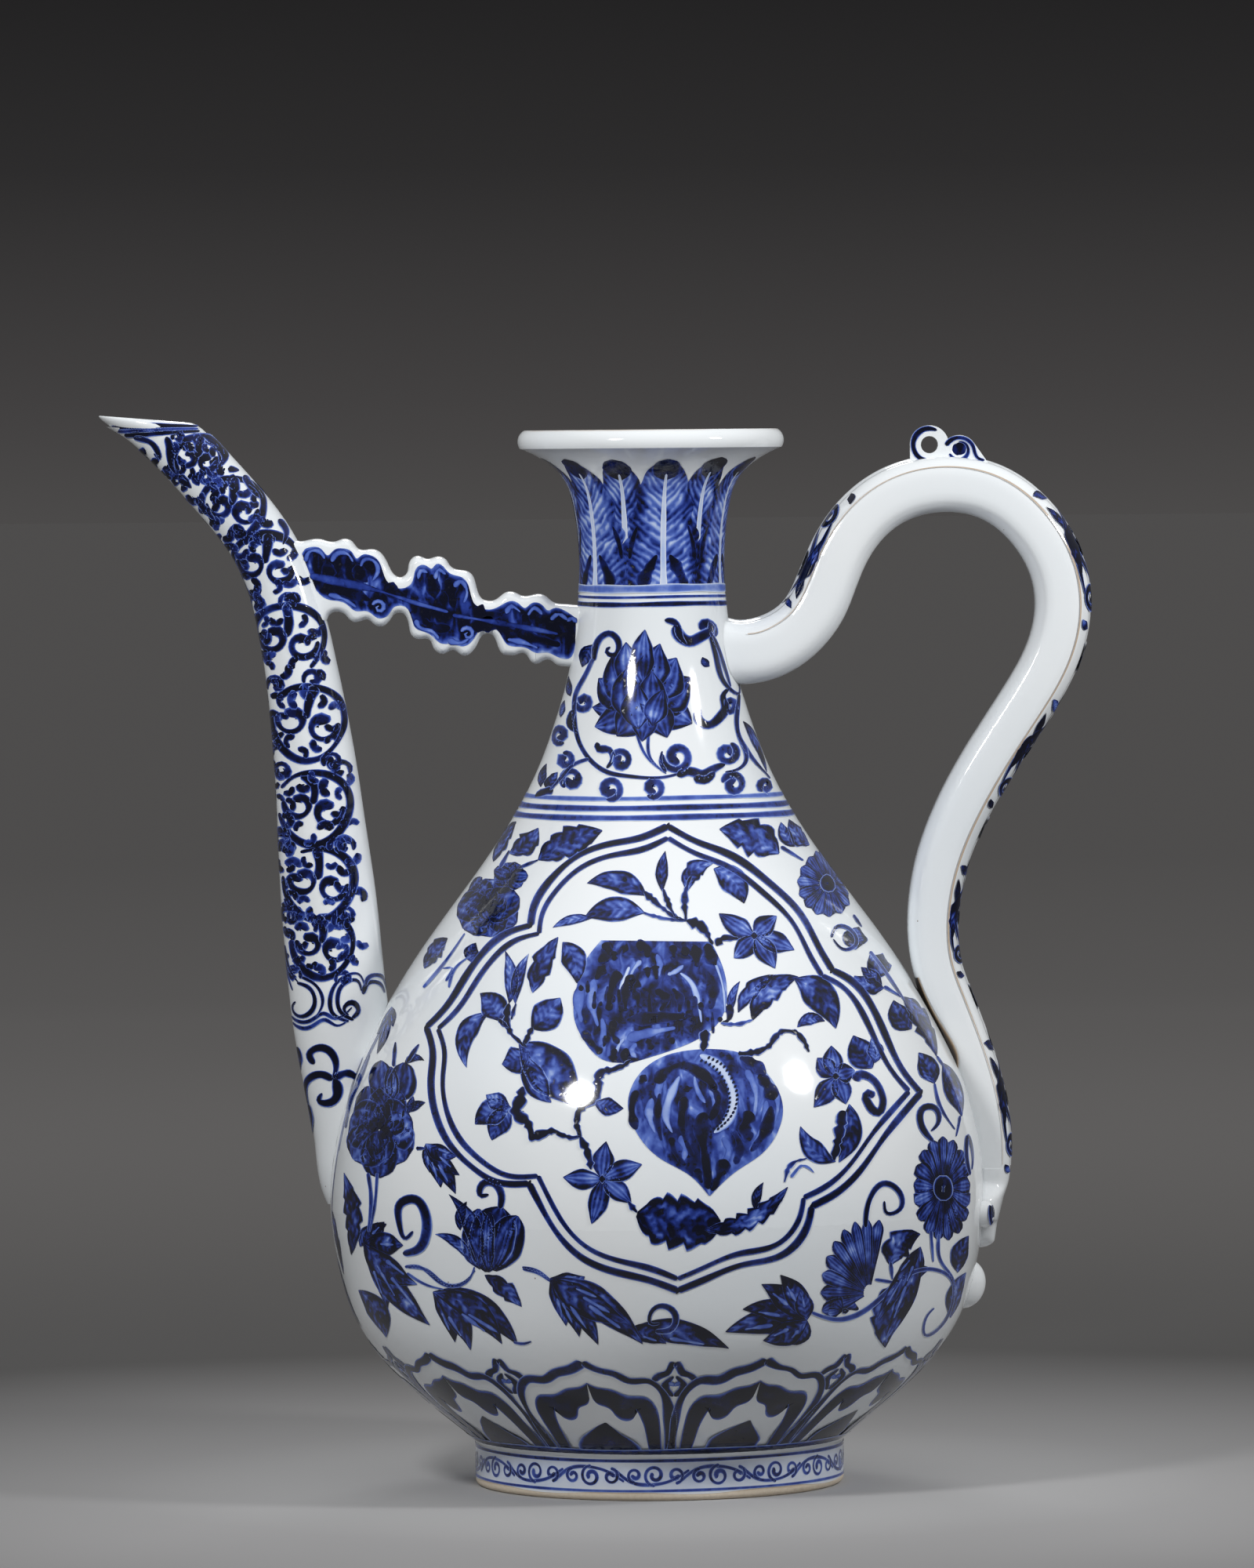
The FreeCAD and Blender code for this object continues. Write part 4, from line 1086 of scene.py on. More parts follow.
def paint_fruits(brush):
    """Washes of both fruits, their strokes, the beads and the twigs that hold them."""
    brush.wash([556, 392, 505, 460, 478, 545, 470, 625, 505, 710, 560, 765, 640, 776],
               [900, 396, 938, 480, 950, 560, 930, 640, 870, 695, 760, 742, 650, 776], 0.62)
    brush.wash([885, 732, 760, 752, 672, 815, 640, 900, 670, 1000, 740, 1075, 835, 1130, 893, 1192],
               [890, 732, 1000, 748, 1085, 820, 1125, 915, 1112, 985, 1060, 1060, 980, 1115, 898,
                1192], 0.58)
    near = Brush(brush.piece, brush.place, WHOLE)
    near.lines(PALE_STROKES, lift=0.15, uneven=0.25, ends=(0.6, 0.4), fade=0.5)
    near.lines(DARK_STROKES, lift=0.18, uneven=0.3, ends=(0.8, 0.6), fade=0.6, spacing=0.6)
    for shift in BEAD_ROWS:
        for x, y in drawn_curve(CLEFT, BEAD_SPACING)[1] + (shift, -0.4 * shift):
            near.line([x - 1.2, y - 1, x + 1.2, y + 1], 4.2, 0.95, lift=0.21, fade=0.5, ends=(0.9, 0.9),
                      spacing=0.4)
    for x in np.arange(BAND_LEFT, BAND_RIGHT, BAND_SPACING):
        fall = BAND_FALL * (x - 735)
        near.line([x, 1262 + fall + hand.uniform(-22, 22), x + hand.uniform(-2, 2),
                   1268 + fall + hand.uniform(-20, 26)], hand.uniform(3, 6), hand.uniform(0.7, 1),
                  lift=0.17, fade=0.6, spacing=0.4)
    brush.lines(TWIGS, lift=0.2, uneven=0.2, knots=0.24)


print("Strokes on the fruits:", len(PALE_STROKES) + len(DARK_STROKES), "and twigs:", len(TWIGS))

# %% [markdown]
# Leaves grow from the twigs, and three open blossoms sit between them. A leaf needs only its
# base, its tip and its width; the bow and the teeth give it its lean and its jagged edge.

# %% Leaves and blossoms of the medallion
# Rows of base, tip, width, bow and teeth, in the enlarged view
BRANCH_LEAVES = [
    (697, 252, 513, 213, 60, -0.14), (748, 240, 757, 112, 32, 0.05), (692, 306, 505, 320, 66, -0.1),
    (530, 322, 405, 352, 26, -0.08), (826, 238, 905, 152, 56, 0.25, 3),
    (908, 168, 1003, 276, 74, 0.14), (342, 556, 422, 382, 64, 0.06, 3), (436, 398, 480, 526, 66, 0.12),
    (268, 590, 256, 424, 36, -0.08), (288, 592, 330, 434, 32, 0.08), (205, 618, 135, 790, 52, -0.22),
    (240, 645, 178, 558, 72, -0.1), (338, 668, 428, 572, 84, -0.05), (330, 738, 246, 780, 76, 0.1),
    (300, 716, 478, 910, 128, 0.05), (330, 760, 400, 900, 70, -0.1), (274, 922, 214, 1018, 66, -0.08),
    (274, 915, 162, 968, 74, -0.1), (270, 912, 196, 876, 50, 0.05), (535, 900, 626, 918, 46, -0.05),
    (962, 622, 990, 520, 24, 0.1), (985, 618, 1104, 500, 46, 0.12, 3),
    (1030, 642, 1172, 506, 70, 0.16, 4), (1160, 512, 1290, 668, 84, 0.14),
    (1170, 664, 1256, 645, 34, 0.2), (1405, 792, 1345, 690, 80, 0.05),
    (1412, 776, 1400, 700, 44, -0.1), (1332, 905, 1300, 1088, 62, 0.1),
    (1290, 1085, 1180, 975, 52, 0.15)]
BLOSSOMS = [
    (1035, 378, 925, 308, 1105, 316, 1160, 422, 1100, 480, 972, 448),
    (560, 1140, 572, 1022, 684, 1094, 650, 1215, 526, 1280, 437, 1134),
    (1290, 818, 1276, 722, 1232, 760, 1222, 915, 1322, 905, 1350, 800)]


def paint_branch(brush):
    """The whole branch inside the frame."""
    paint_fruits(brush)
    brush.leaves(BRANCH_LEAVES, tone=0.66)
    brush.leaf(668, 1250, 930, 1275, 150, -0.05, 5, 0.85, kind="round")
    brush.leaf(880, 1300, 1140, 1165, 62, -0.12, 7, 0.8, bite=0.55)
    brush.leaf(1040, 1240, 1064, 1150, 26, 0.1, 0, 0.85, kind="slim")
    brush.line([1349, 831, 1363, 814, 1388, 817, 1416, 839, 1434, 874, 1437, 909, 1423, 931, 1406, 924,
                1391, 902, 1384, 881, 1395, 870, 1406, 885], 19, 0.85, ends=(1.2, 1.0), fade=0.25)
    for x, y, *tips in BLOSSOMS:
        for tip_x, tip_y in np.reshape(tips, (-1, 2)):
            brush.leaf(x, y, tip_x, tip_y, 56, 0.03, 0, 0.7, finish=PETAL, lift=0.13)
        brush.line([x - 10, y, x + 10, y], 20, 1.0, lift=0.19, spacing=0.5)


print("The branch has", len(BRANCH_LEAVES), "leaves and", len(BLOSSOMS), "blossoms")

# %% [markdown]
# Round the medallion the wall is covered with cut branches: peonies, chrysanthemums and
# pomegranate buds, with jagged leaves and tight curls, all on thin stems.

# %% Flowers at the left
VIEW_B = (430, 1330, 3.824)
LEFT_LEAVES = [  # in the enlarged view of the lower left
    (110, 1000, 240, 890, 80, 0.1, 2), (690, 1100, 545, 745, 70, -0.12),
    (655, 1080, 478, 940, 50, -0.15), (600, 920, 632, 780, 46, 0.1),
    (720, 1140, 900, 1295, 80, 0.05, 3), (60, 1040, 18, 640, 90, -0.08, 5),
    (95, 1215, 238, 1445, 90, 0.12), (340, 345, 430, 295, 40, 0.1), (345, 350, 372, 265, 34, 0.0),
    (330, 110, 425, 90, 34, 0.25)]
LEFT_LINES = [
    (35, 0.85, 320, 1035, 400, 1010, 435, 930, 430, 840, 380, 770, 310, 790, 300, 870, 335, 960, 370,
     925), (16, 0.6, 150, 640, 165, 760, 150, 930), (12, 0.55, 195, 640, 185, 780, 158, 930),
    (14, 0.6, 330, 1100, 400, 1100, 480, 1160, 560, 1195, 640, 1165, 670, 1100),
    (11, 0.5, 340, 1130, 440, 1190, 520, 1210), (13, 0.6, 905, 1110, 980, 1130, 1045, 1175),
    (30, 0.85, 795, 815, 800, 740, 760, 690, 705, 700, 700, 750, 740, 745),
    (14, 0.7, 385, 520, 430, 520), (18, 0.7, 10, 420, 30, 300, 90, 180, 130, 60),
    (16, 0.75, 60, 60, 20, 200, 0, 330), (15, 0.8, 275, 120, 285, 0), (17, 0.85, 340, 100, 400, 10)]
# Jagged leaves as bundles of strokes, in the whole picture: base, then tip, width and bow
FRONDS = [
    (464, 1587, (490, 1560, 18), (514, 1590, 26), (494, 1672, 17, 0.06), (504, 1655, 15),
     (516, 1676, 18, 0.04), (548, 1692, 26, -0.05), (532, 1640, 26, -0.1)),
    (552, 1650, (660, 1717, 28, 0.12), (580, 1714, 18, 0.08), (600, 1724, 22, 0.1),
     (640, 1716, 26, 0.12)),
    (702, 1632, (746, 1630, 22, -0.15), (763, 1646, 22, -0.12), (780, 1664, 24, -0.1),
     (722, 1693, 20, 0.06), (739, 1707, 22, 0.08), (763, 1717, 24, 0.06), (820, 1716, 32, 0.06),
     (802, 1690, 30, -0.04)),
    (800, 1700, (930, 1722, 26, 0.08), (850, 1716, 20, 0.1)),
    (543, 1460, (548, 1497, 16, 0.06), (562, 1516, 18, 0.06), (581, 1524, 20, 0.04),
     (586, 1500, 18, -0.06), (582, 1476, 18, -0.1)),
    (1030, 1686, (926, 1701, 28, -0.06), (948, 1672, 24, -0.08), (972, 1640, 26, -0.06),
     (996, 1628, 24, -0.06), (1022, 1646, 20), (1004, 1716, 24, 0.08), (974, 1712, 24, 0.08)),
    (1175, 1592, (1142, 1632, 16, 0.08), (1152, 1650, 17, 0.06), (1130, 1712, 20, 0.04),
     (1118, 1690, 16)),
    (490, 1285, (470, 1320, 14, 0.08), (500, 1310, 14), (478, 1345, 14, 0.05))]
FROND_LINES = [
    (3, 0.6, 666, 1618, 684, 1622, 702, 1634),
    (6, 0.8, 836, 1700, 858, 1696, 862, 1680, 848, 1668, 832, 1674, 830, 1690, 842, 1690),
    (3, 0.6, 655, 1714, 668, 1716, 678, 1713),
    (3, 0.6, 520, 1618, 545, 1622, 570, 1640, 590, 1638, 606, 1622)]


def paint_left(brush):
    """Peony, leaves and jagged fronds below and left of the medallion."""
    brush.leaves(LEFT_LEAVES, tone=0.80, bite=0.42)
    brush.lines(LEFT_LINES)
    brush.peony(205, 430, 165, 235, 12)
    brush.leaves([(232, 300, 214, 90, 110, 0.05), (290, 290, 325, 100, 120, -0.05),
                  (270, 280, 262, 120, 60, 0.0)], tone=0.8, kind="round", finish=PETAL)
    for x, y, tip_x, tip_y, width in ((700, 1110, 690, 815, 130), (730, 1125, 800, 805, 190),
                                      (770, 1120, 880, 850, 150), (740, 1120, 745, 830, 60)):
        brush.leaf(x, y, tip_x, tip_y, width, 0.03, 0, 0.82, kind="round", finish=PETAL)
    near = Brush(brush.piece, brush.place, WHOLE)
    for x, y, *rows in FRONDS:
        near.frond(x, y, rows)
    near.lines(FROND_LINES)


print("At the left:", len(LEFT_LEAVES), "leaves and", len(FRONDS), "fronds")

# %% [markdown]
# The right side has a chrysanthemum, a daisy and a fan-shaped flower on long thin stems.

# %% Flowers at the right
VIEW_C = (860, 1040, 2.24)
RIGHT_LEAVES = [  # in the enlarged view of the right
    (300, 110, 130, 40, 96, -0.08, 4), (345, 90, 305, 20, 34, 0.1), (395, 85, 330, 12, 52, 0.1, 2),
    (600, 495, 515, 460, 46, 0.1, 3), (595, 490, 535, 435, 34, 0.0), (680, 612, 628, 530, 60, 0.1),
    (655, 520, 755, 690, 66, 0.1, 4), (775, 710, 832, 862, 66, 0.05), (745, 768, 700, 680, 54, -0.05),
    (620, 1290, 705, 1200, 76, 0.2, 3), (650, 1340, 605, 1525, 84, -0.1, 5),
    (815, 1310, 850, 1205, 52, 0.1), (800, 1440, 848, 1310, 50, 0.1), (660, 1335, 735, 1298, 32, 0.1),
    (520, 385, 530, 320, 60, 0.1), (560, 400, 630, 430, 60, -0.2)]
RIGHT_LINES = [
    (8, 0.6, 305, 90, 370, 130), (8, 0.7, 515, 285, 540, 320), (9, 0.6, 560, 390, 620, 470, 660, 530),
    (7, 0.55, 600, 490, 650, 520), (8, 0.6, 755, 690, 780, 720),
    (7, 0.6, 745, 768, 760, 830, 805, 900), (7, 0.6, 825, 860, 808, 920),
    (15, 0.85, 742, 935, 705, 880, 712, 840, 745, 838, 756, 880, 735, 905),
    (13, 0.85, 548, 1180, 560, 1100, 600, 1055, 645, 1080, 645, 1130, 610, 1140, 602, 1105),
    (12, 0.7, 855, 1030, 842, 960, 852, 920, 868, 960, 862, 1015), (7, 0.55, 735, 1190, 742, 1280),
    (10, 0.6, 395, 1425, 470, 1445, 560, 1410, 650, 1330, 730, 1300, 795, 1330, 800, 1400, 760, 1470,
     720, 1490, 722, 1440, 745, 1412), (7, 0.55, 575, 1330, 640, 1340),
    (7, 0.55, 758, 1200, 765, 1280, 800, 1330, 805, 1390), (8, 0.6, 620, 1280, 625, 1330),
    (9, 0.75, 450, 350, 465, 320, 500, 325, 520, 370, 490, 385, 455, 355)]


def paint_right(brush):
    """Leaves and flowers right of the medallion."""
    brush.leaves(RIGHT_LEAVES, tone=0.74, bite=0.4)
    brush.lines(RIGHT_LINES)
    brush.rosette(440, 195, 88, 96, 15, 8, tone=0.66)
    brush.rosette(770, 1070, 84, 150, 17, 5, tone=0.72, hub=0.3)
    brush.rosette(490, 1420, 50, 30, 3, 60, 200)
    brush.rosette(560, 1370, 140, 215, 9, 78, 130, heart=0.12, plump=1.0, tone=0.68, hub=0)


print("At the right:", len(RIGHT_LEAVES), "leaves")

# %% [markdown]
# A peony closes the gap above the medallion's left shoulder. Under the spout stands a single
# flower between two lines; it faces the side, so it is drawn in true millimetres.

# %% Flowers above, and under the spout


def paint_upper_left(brush):
    """Peony and leaves above the medallion's left shoulder, in the first enlarged view."""
    brush.peony(200, 290, 108, 92, 20)
    brush.peony(272, 190, 56, 42, 0)
    brush.leaves([(360, 140, 560, 48, 90, 0.05, 5), (270, 120, 360, 40, 60, -0.1, 3),
                  (215, 145, 285, 20, 60, 0.1, 3), (135, 250, 180, 195, 42, 0.1),
                  (0, 480, 75, 385, 60, 0.1, 4), (150, 460, 165, 400, 40, 0.1)], tone=0.75)
    brush.lines([(8, 0.7, 300, 165, 360, 140), (9, 0.7, 240, 165, 270, 110),
                 (8, 0.5, 0, 540, 60, 470, 130, 370), (7, 0.5, 80, 540, 100, 480, 150, 440),
                 (8, 0.5, 70, 520, 90, 480, 60, 480)])


def paint_under_spout(brush):
    """Flower and leaves on the wall under the spout, in millimetres from level 100. Two lines
    run down beside the spout's root."""
    for side in (-1, 1):
        brush.line([side * 17.5, 34, side * 18.5, 16, side * 18, -4, side * 13, -22, side * 5, -33],
                   0.9, 0.6)
        brush.line([side * 19.3, 33, side * 20.3, 15, side * 19.6, -5], 0.6, 0.5)
        brush.leaf(side * 13, -22, side * 16.5, -40, 6.5, 0.12 * side, 3, 0.85)
        brush.leaf(side * 6, -33, side * 15, -56, 7.5, -0.1 * side, 4, 0.85)
        brush.line(curl_points(side * 11, -64, 3.4, 1.2 * side, 90), 1.2, 0.75, ends=(0.6, 1.6))
        brush.line([side * 2, -62, side * 5, -68, side * 9, -69], 0.8, 0.6)
        brush.leaf(side * 2, -63, side * 6, -76, 5.5, 0.1 * side, 3, 0.8)
    brush.rosette(0, -47, 9.5, 10.5, 14, 6, tone=0.72, hub=0.3)
    brush.line([0, -57, 0.6, -63, 0, -72], 0.9, 0.65)


for side, flank in FLANKS:
    place = from_front(body_outline, side)
    paint_frame(Brush("medallion_frame_" + flank, place, WHOLE))
    paint_branch(Brush("peach_branch_" + flank, place, VIEW_A))
    paint_left(Brush("cut_flowers_" + flank, place, VIEW_B))
    paint_right(Brush("cut_flowers_" + flank, place, VIEW_C))
    paint_upper_left(Brush("cut_flowers_" + flank, place, VIEW_A))
    for name in ("medallion_frame_", "peach_branch_", "cut_flowers_"):
        finish_painting(name + flank)
paint_under_spout(Brush("flower_under_spout", wrapped(body_outline, 18, 230, -90, 100)))
finish_painting("flower_under_spout")

# %% [markdown]
# Neck: two tiers of plantain leaves stand round it, six in front and six behind, with wavy
# edges, slanting veins and a pale midrib that widens towards the foot. Rings drawn on the
# turning wheel close each zone of the pot.

# %% Plantain leaves and rings
LEAF_TURN, LEAVES_ROUND, LEAF_HEIGHT = 9.0, 6, 40.5
for index in range(2 * LEAVES_ROUND):
    front = index % 2 == 0
    turn = LEAF_TURN + 180 / LEAVES_ROUND * index
    place = wrapped(neck_outline, NECK_LOW, NECK_HIGH - 0.6, turn, NECK_LOW)
    height = LEAF_HEIGHT + 0.6 * hand.uniform(-1, 1)
    brush = Brush("neck_leaves", place)
    lift, width, tone = (0.17, 19.4, 0.42) if front else (0.10, 17.0, 0.5)
    brush.leaf(0, 0, 0, height, width, 0.0, 5, tone, kind="plantain", veins=17, finish=PLANTAIN,
               bite=0.16, lobes=True, lift=lift, spacing=0.7, rim=0.8, fine=2)
    brush.leaf(0.2, height - 8.5, 0, height + 0.1, 6.6, 0.0, 0, 0.85, kind="round", finish=LINE,
               lift=lift + 0.02, rim=0.75, fine=2)
    brush.line([0, 0.2, 0, height * 0.45, 0.2, height * 0.84], 1.1, 0.11, ends=(1.5, 0.4),
               lift=lift + 0.03, fade=0.02, uneven=0.04)
    if front:
        for side in (-1, 1):
            brush.line([side * 6.5, 1.0, side * 4.6, 5, side * 1.8, 10], 2.4, 0.85, fade=0.5,
                       lift=0.19, uneven=0.2)
            brush.line([side * 9.4, 9, side * 8.6, 14, side * 7.2, 18], 1.2, 0.9, fade=0.5,
                       lift=0.19, uneven=0.2)
ring("neck_leaves", neck_outline, NECK_LOW + 0.6, 1.9, 0.34, lift=0.26)
collar_outline = turned_outline(["neck"], COLLAR + 0.3, NECK_LOW - 0.3, 1)
ring("collar_ring", collar_outline, COLLAR + 0.9, 1.2, 0.8)
ring("collar_ring", collar_outline, COLLAR + 2.9, 0.7, 0.6)
finish_painting("neck_leaves")
finish_painting("collar_ring")
for level, width, tone in ((193.1, 1.1, 0.40), (190.5, 1.4, 0.62), (187.9, 1.4, 0.58)):
    ring("shoulder_rings", body_outline, level, width, tone)
finish_painting("shoulder_rings")

# %% [markdown]
# The bottom of the wall is ringed with ten lotus petals: an outer line drawn up into a point,
# a broad dark border with a cloud edge, and a dark mound standing in the middle.

# %% Lotus petals
PETALS_ROUND, PETAL_TURN, BAND_TOP = 10, 21.0, 40.6
band_length, band_level = wall_length(body_outline, SEAT, BAND_TOP)


def fanned(points):
    """Drawing of a petal: degrees from its middle and share of the band's height, turned
    into lengths along the wall."""
    up = points[:, 1] * band_length[-1]
    radius = body_outline(np.interp(up, band_length, band_level))[0][:, 0]
    return np.stack([np.radians(points[:, 0]) * radius, up], 1)


PETAL_OUTER = [
    17.8, 0.0, 17.5, 0.4, 16.8, 0.62, 15.2, 0.77, 12.6, 0.85, 9.0, 0.85, 6.2, 0.91, 3.4, 0.94, 0, 1.01]
PETAL_BORDER = [
    15.7, 0.0, 15.4, 0.2, 15.0, 0.46, 14.0, 0.61, 11.8, 0.70, 8.4, 0.71, 4.9, 0.77, 2, 0.79, 0, 0.83]
PETAL_BORDER_INSIDE = [
    12.0, 0.0, 11.3, 0.28, 10.4, 0.47, 9.5, 0.57, 8.7, 0.46, 6.6, 0.43, 4.9, 0.47, 3.2, 0.58,
    1.4, 0.61, 0.4, 0.67]
PETAL_KNOT = [13.8, 0.85, 15.2, 0.90, 16.5, 0.92, 17.2, 0.97, 18, 1.01]
for index in range(PETALS_ROUND):
    turn = PETAL_TURN + 360 / PETALS_ROUND * index
    brush = Brush("lotus_petals", wrapped(body_outline, SEAT, 60, turn, SEAT + 0.2), fanned)
    for side in (-1, 1):
        outer, border, inside = [np.reshape(points, (-1, 2)) * (side, 1) for points in
                                 (PETAL_OUTER, PETAL_BORDER, PETAL_BORDER_INSIDE)]
        brush.line(outer, 2.0, 0.92, ends=(1.2, 1.1), lift=0.16, uneven=0.25)
        brush.wash(border, inside, 0.9, soft=0.3, finish=LINE, lift=0.12, spacing=0.8)
        brush.line(np.reshape(PETAL_KNOT, (-1, 2)) * (side, 1), 1.6, 0.9, lift=0.15, ends=(0.8, 1))
        brush.line([side * 17.9, 0.70, side * 16.2, 0.79, side * 17.8, 0.89], 1.7, 0.92, lift=0.15)
        brush.line([side * 17.0, 0.84, side * 18.0, 0.8], 1.2, 0.35, lift=0.19, fade=0.5)
    brush.leaf(0.4, 0.0, 1.6, 0.41, 14.5, 0.04, 0, 0.9, kind="mound", finish=LINE)
ring("lotus_petals", body_outline, SEAT + 1.3, 2.4, 0.82, lift=0.18)
finish_painting("lotus_petals")

# %% [markdown]
# Foot: a running scroll of curls between two lines, over a thin wash of pale blue.

# %% Scroll on the foot
foot_radius = np.hypot(*mesh_points("foot_ring")[:, :2].T).max()
foot_outline = smooth_line([1.6, SEAT], [foot_radius, foot_radius])
FOOT_CURLS = 18
for turn in range(FOOT_CURLS):
    place = wrapped(foot_outline, 2.0, SEAT - 0.3, 360 / FOOT_CURLS * turn, 7.0)
    brush = Brush("foot_scroll", place)
    up = 1 if turn % 2 else -1
    brush.line([-12.5, -1.6 * up, -8, 1.7 * up, -2.5, 2.4 * up, 3.2, 1.2 * up, 8.0, -1.6 * up], 0.75,
               0.6, ends=(0.9, 0.8), spacing=0.5)
    for x, radius, turns in ((-1.5, 3.0, 1.4), (4.2, 2.3, -1.3), (-7.0, 2.1, 1.3)):
        curl = curl_points(x, -0.2 * up, radius, turns * up, 90 * up)
        brush.line(curl, 0.72, 0.62, ends=(0.9, 1.5), spacing=0.45)
for level, width, tone, lift in ((7.0, 7.6, 0.07, 0.07), (11.2, 0.8, 0.66, 0.15), (2.9, 0.7, 0.5, 0.15)):
    ring("foot_scroll", foot_outline, level, width, tone, lift=lift)
finish_painting("foot_scroll")

# %% [markdown]
# Shoulder: an open lotus on each flank, its stem winding to both sides with tight curls and
# folded leaves that close up beside the strut and under the handle.

# %% Lotus scroll on the shoulder
LOTUS = [  # base, tip and width of each petal, from the outer ones to the heart
    (800, 905, 756, 902, 25), (805, 908, 759, 927, 32), (805, 900, 764, 865, 36),
    (838, 905, 883, 923, 36), (842, 906, 880, 890, 28), (840, 908, 881, 864, 42),
    (808, 895, 781, 837, 42), (840, 895, 863, 839, 44), (812, 885, 799, 819, 32),
    (830, 885, 842, 821, 36), (821, 870, 823, 803, 27), (815, 900, 787, 939, 34),
    (832, 900, 851, 941, 32), (821, 900, 819, 946, 28), (802, 918, 801, 852, 34),
    (838, 922, 832, 856, 34), (815, 930, 814, 872, 34), (833, 926, 846, 880, 26)]
SHOULDER_LINES = [
    (3, 0.55, 812, 935, 825, 965, 850, 987), (3, 0.55, 828, 935, 829, 965, 850, 987),
    (5, 0.75, 757, 840, 745, 865, 735, 885, 733, 910, 737, 940, 752, 968, 775, 985, 800, 990, 850,
     991, 872, 985), (4, 0.7, 752, 968, 730, 977, 718, 990, 702, 1008),
    (5, 0.8, 906, 812, 912, 832, 918, 858, 930, 878, 943, 885, 947, 868),
    (5, 0.75, 944, 885, 940, 910, 943, 940, 951, 958, 951, 972, 942, 981, 925, 985),
    (4, 0.7, 943, 940, 962, 970, 985, 993),
    (7, 0.85, 762, 947, 764, 955, 776, 956, 782, 966, 774, 980),
    (10, 0.85, 864, 990, 880, 984, 895, 988, 912, 980, 925, 975),
    (9, 0.95, 885, 992, 900, 995, 912, 984), (7, 0.9, 848, 791, 862, 795, 867, 810, 876, 822),
    (9, 0.8, 893, 803, 900, 795, 910, 800, 913, 812),
    (7, 0.85, 758, 843, 760, 826, 767, 813, 778, 808, 787, 814, 790, 826, 786, 835, 778, 835, 774,
     830, 779, 825), (9, 1.0, 892, 903, 890, 915, 902, 925, 918, 915, 925, 903, 922, 888, 930, 878),
    (7, 0.9, 733, 905, 728, 925, 738, 935), (8, 0.95, 706, 1008, 690, 1012, 683, 1016),
    (4, 0.7, 850, 985, 843, 972, 845, 958),
    (12, 0.85, 860, 798, 868, 812, 880, 818, 894, 812, 907, 802, 904, 793),
    (4, 0.7, 906, 806, 914, 822, 924, 850, 932, 876)]
# Middle, radius, turns and start of each curl
SHOULDER_CURLS = [
    (793, 970, 13, 1.2, 200), (779, 1006, 15, -1.3, 110), (834, 1005, 13, -1.2, 130),
    (864, 965, 20, -1.35, 190), (927, 961, 14, 1.3, 290), (936, 1001, 15, 1.3, 190),
    (730, 994, 14, 1.2, 130), (722, 970, 10, 1.1, 250), (714, 937, 12, 1.2, 60),
    (745, 896, 11, -1.1, 190), (931, 899, 9, -1.1, 120), (977, 1002, 9, 1.1, 120)]
SHOULDER_LEAVES = [
    (948, 920, 980, 985, 13, 0.08), (757, 822, 743, 851, 16, -0.05), (728, 888, 722, 862, 11, 0.05),
    (714, 915, 719, 893, 10, 0.05), (690, 1004, 697, 974, 11, 0.08), (700, 1012, 712, 985, 14, 0.1, 2),
    (905, 850, 896, 838, 9, 0.1), (702, 880, 712, 850, 9, 0.1)]
for side, flank in FLANKS:
    brush = Brush("shoulder_lotus_" + flank, from_front(body_outline, side), WHOLE)
    for order, row in enumerate(LOTUS):
        brush.leaf(*row, 0.04, 0, 0.72, finish=PETAL, lift=0.12 + 0.006 * order, rim=0.3)
    brush.lines(SHOULDER_LINES)
    for x, y, radius, turns, start in SHOULDER_CURLS:
        brush.line(curl_points(x, y, radius, turns, start), 7, 0.70, ends=(0.6, 1.9))
    brush.leaves(SHOULDER_LEAVES, tone=0.75)
    finish_painting("shoulder_lotus_" + flank)

# %% [markdown]
# Spout: a bent oval tube that tapers to the beak. Its middle line and its depth are those
# it was built with. A drawing seen from the side finds the nearest place of that line, and
# how far off it lies tells how far the tube has curved away there.

# %% Places on the spout
SPOUT_LINE = np.array([
    (-0.202, 0.018), (-0.161, 0.074), (-0.111, 0.152), (-0.061, 0.229), (-0.035, 0.292),
    (-0.015, 0.36), (0.01, 0.438), (0.04, 0.537), (0.084, 0.638), (0.134, 0.721), (0.19, 0.783),
    (0.308, 0.851), (0.501, 0.917), (0.654, 0.964), (0.8, 1.0), (1.03, 1.054)])
SPOUT_DEPTHS = np.array([(0, 27.6), (0.32, 27.05), (0.58, 20.4), (0.72, 18.2), (1, 16.6)])
SPOUT_WIDTH_SHARE = 0.95


def tube_line(points, depths, steps=400):
    """Even places along a bent tube, the way towards its inner side, and half its depth."""
    knots = running_length(points)
    share = np.linspace(0, 1, steps)
    value, slope = smooth_line(knots, points)(share * knots[-1])
    slope /= np.linalg.norm(slope, axis=1, keepdims=True)
    half = np.interp(share, depths[:, 0], depths[:, 1]) / 2
    return value, np.stack([slope[:, 1], -slope[:, 0]], 1), half


def off_tube(tube, points):
    """Nearest place on a tube's middle line for each point seen from the side, the way there,
    and how far towards the inner side the point lies."""
    nearest = np.linalg.norm(points[:, None] - tube[0], axis=2).argmin(1)
    off = points - tube[0][nearest]
    return nearest, off, (off * tube[1][nearest]).sum(1)


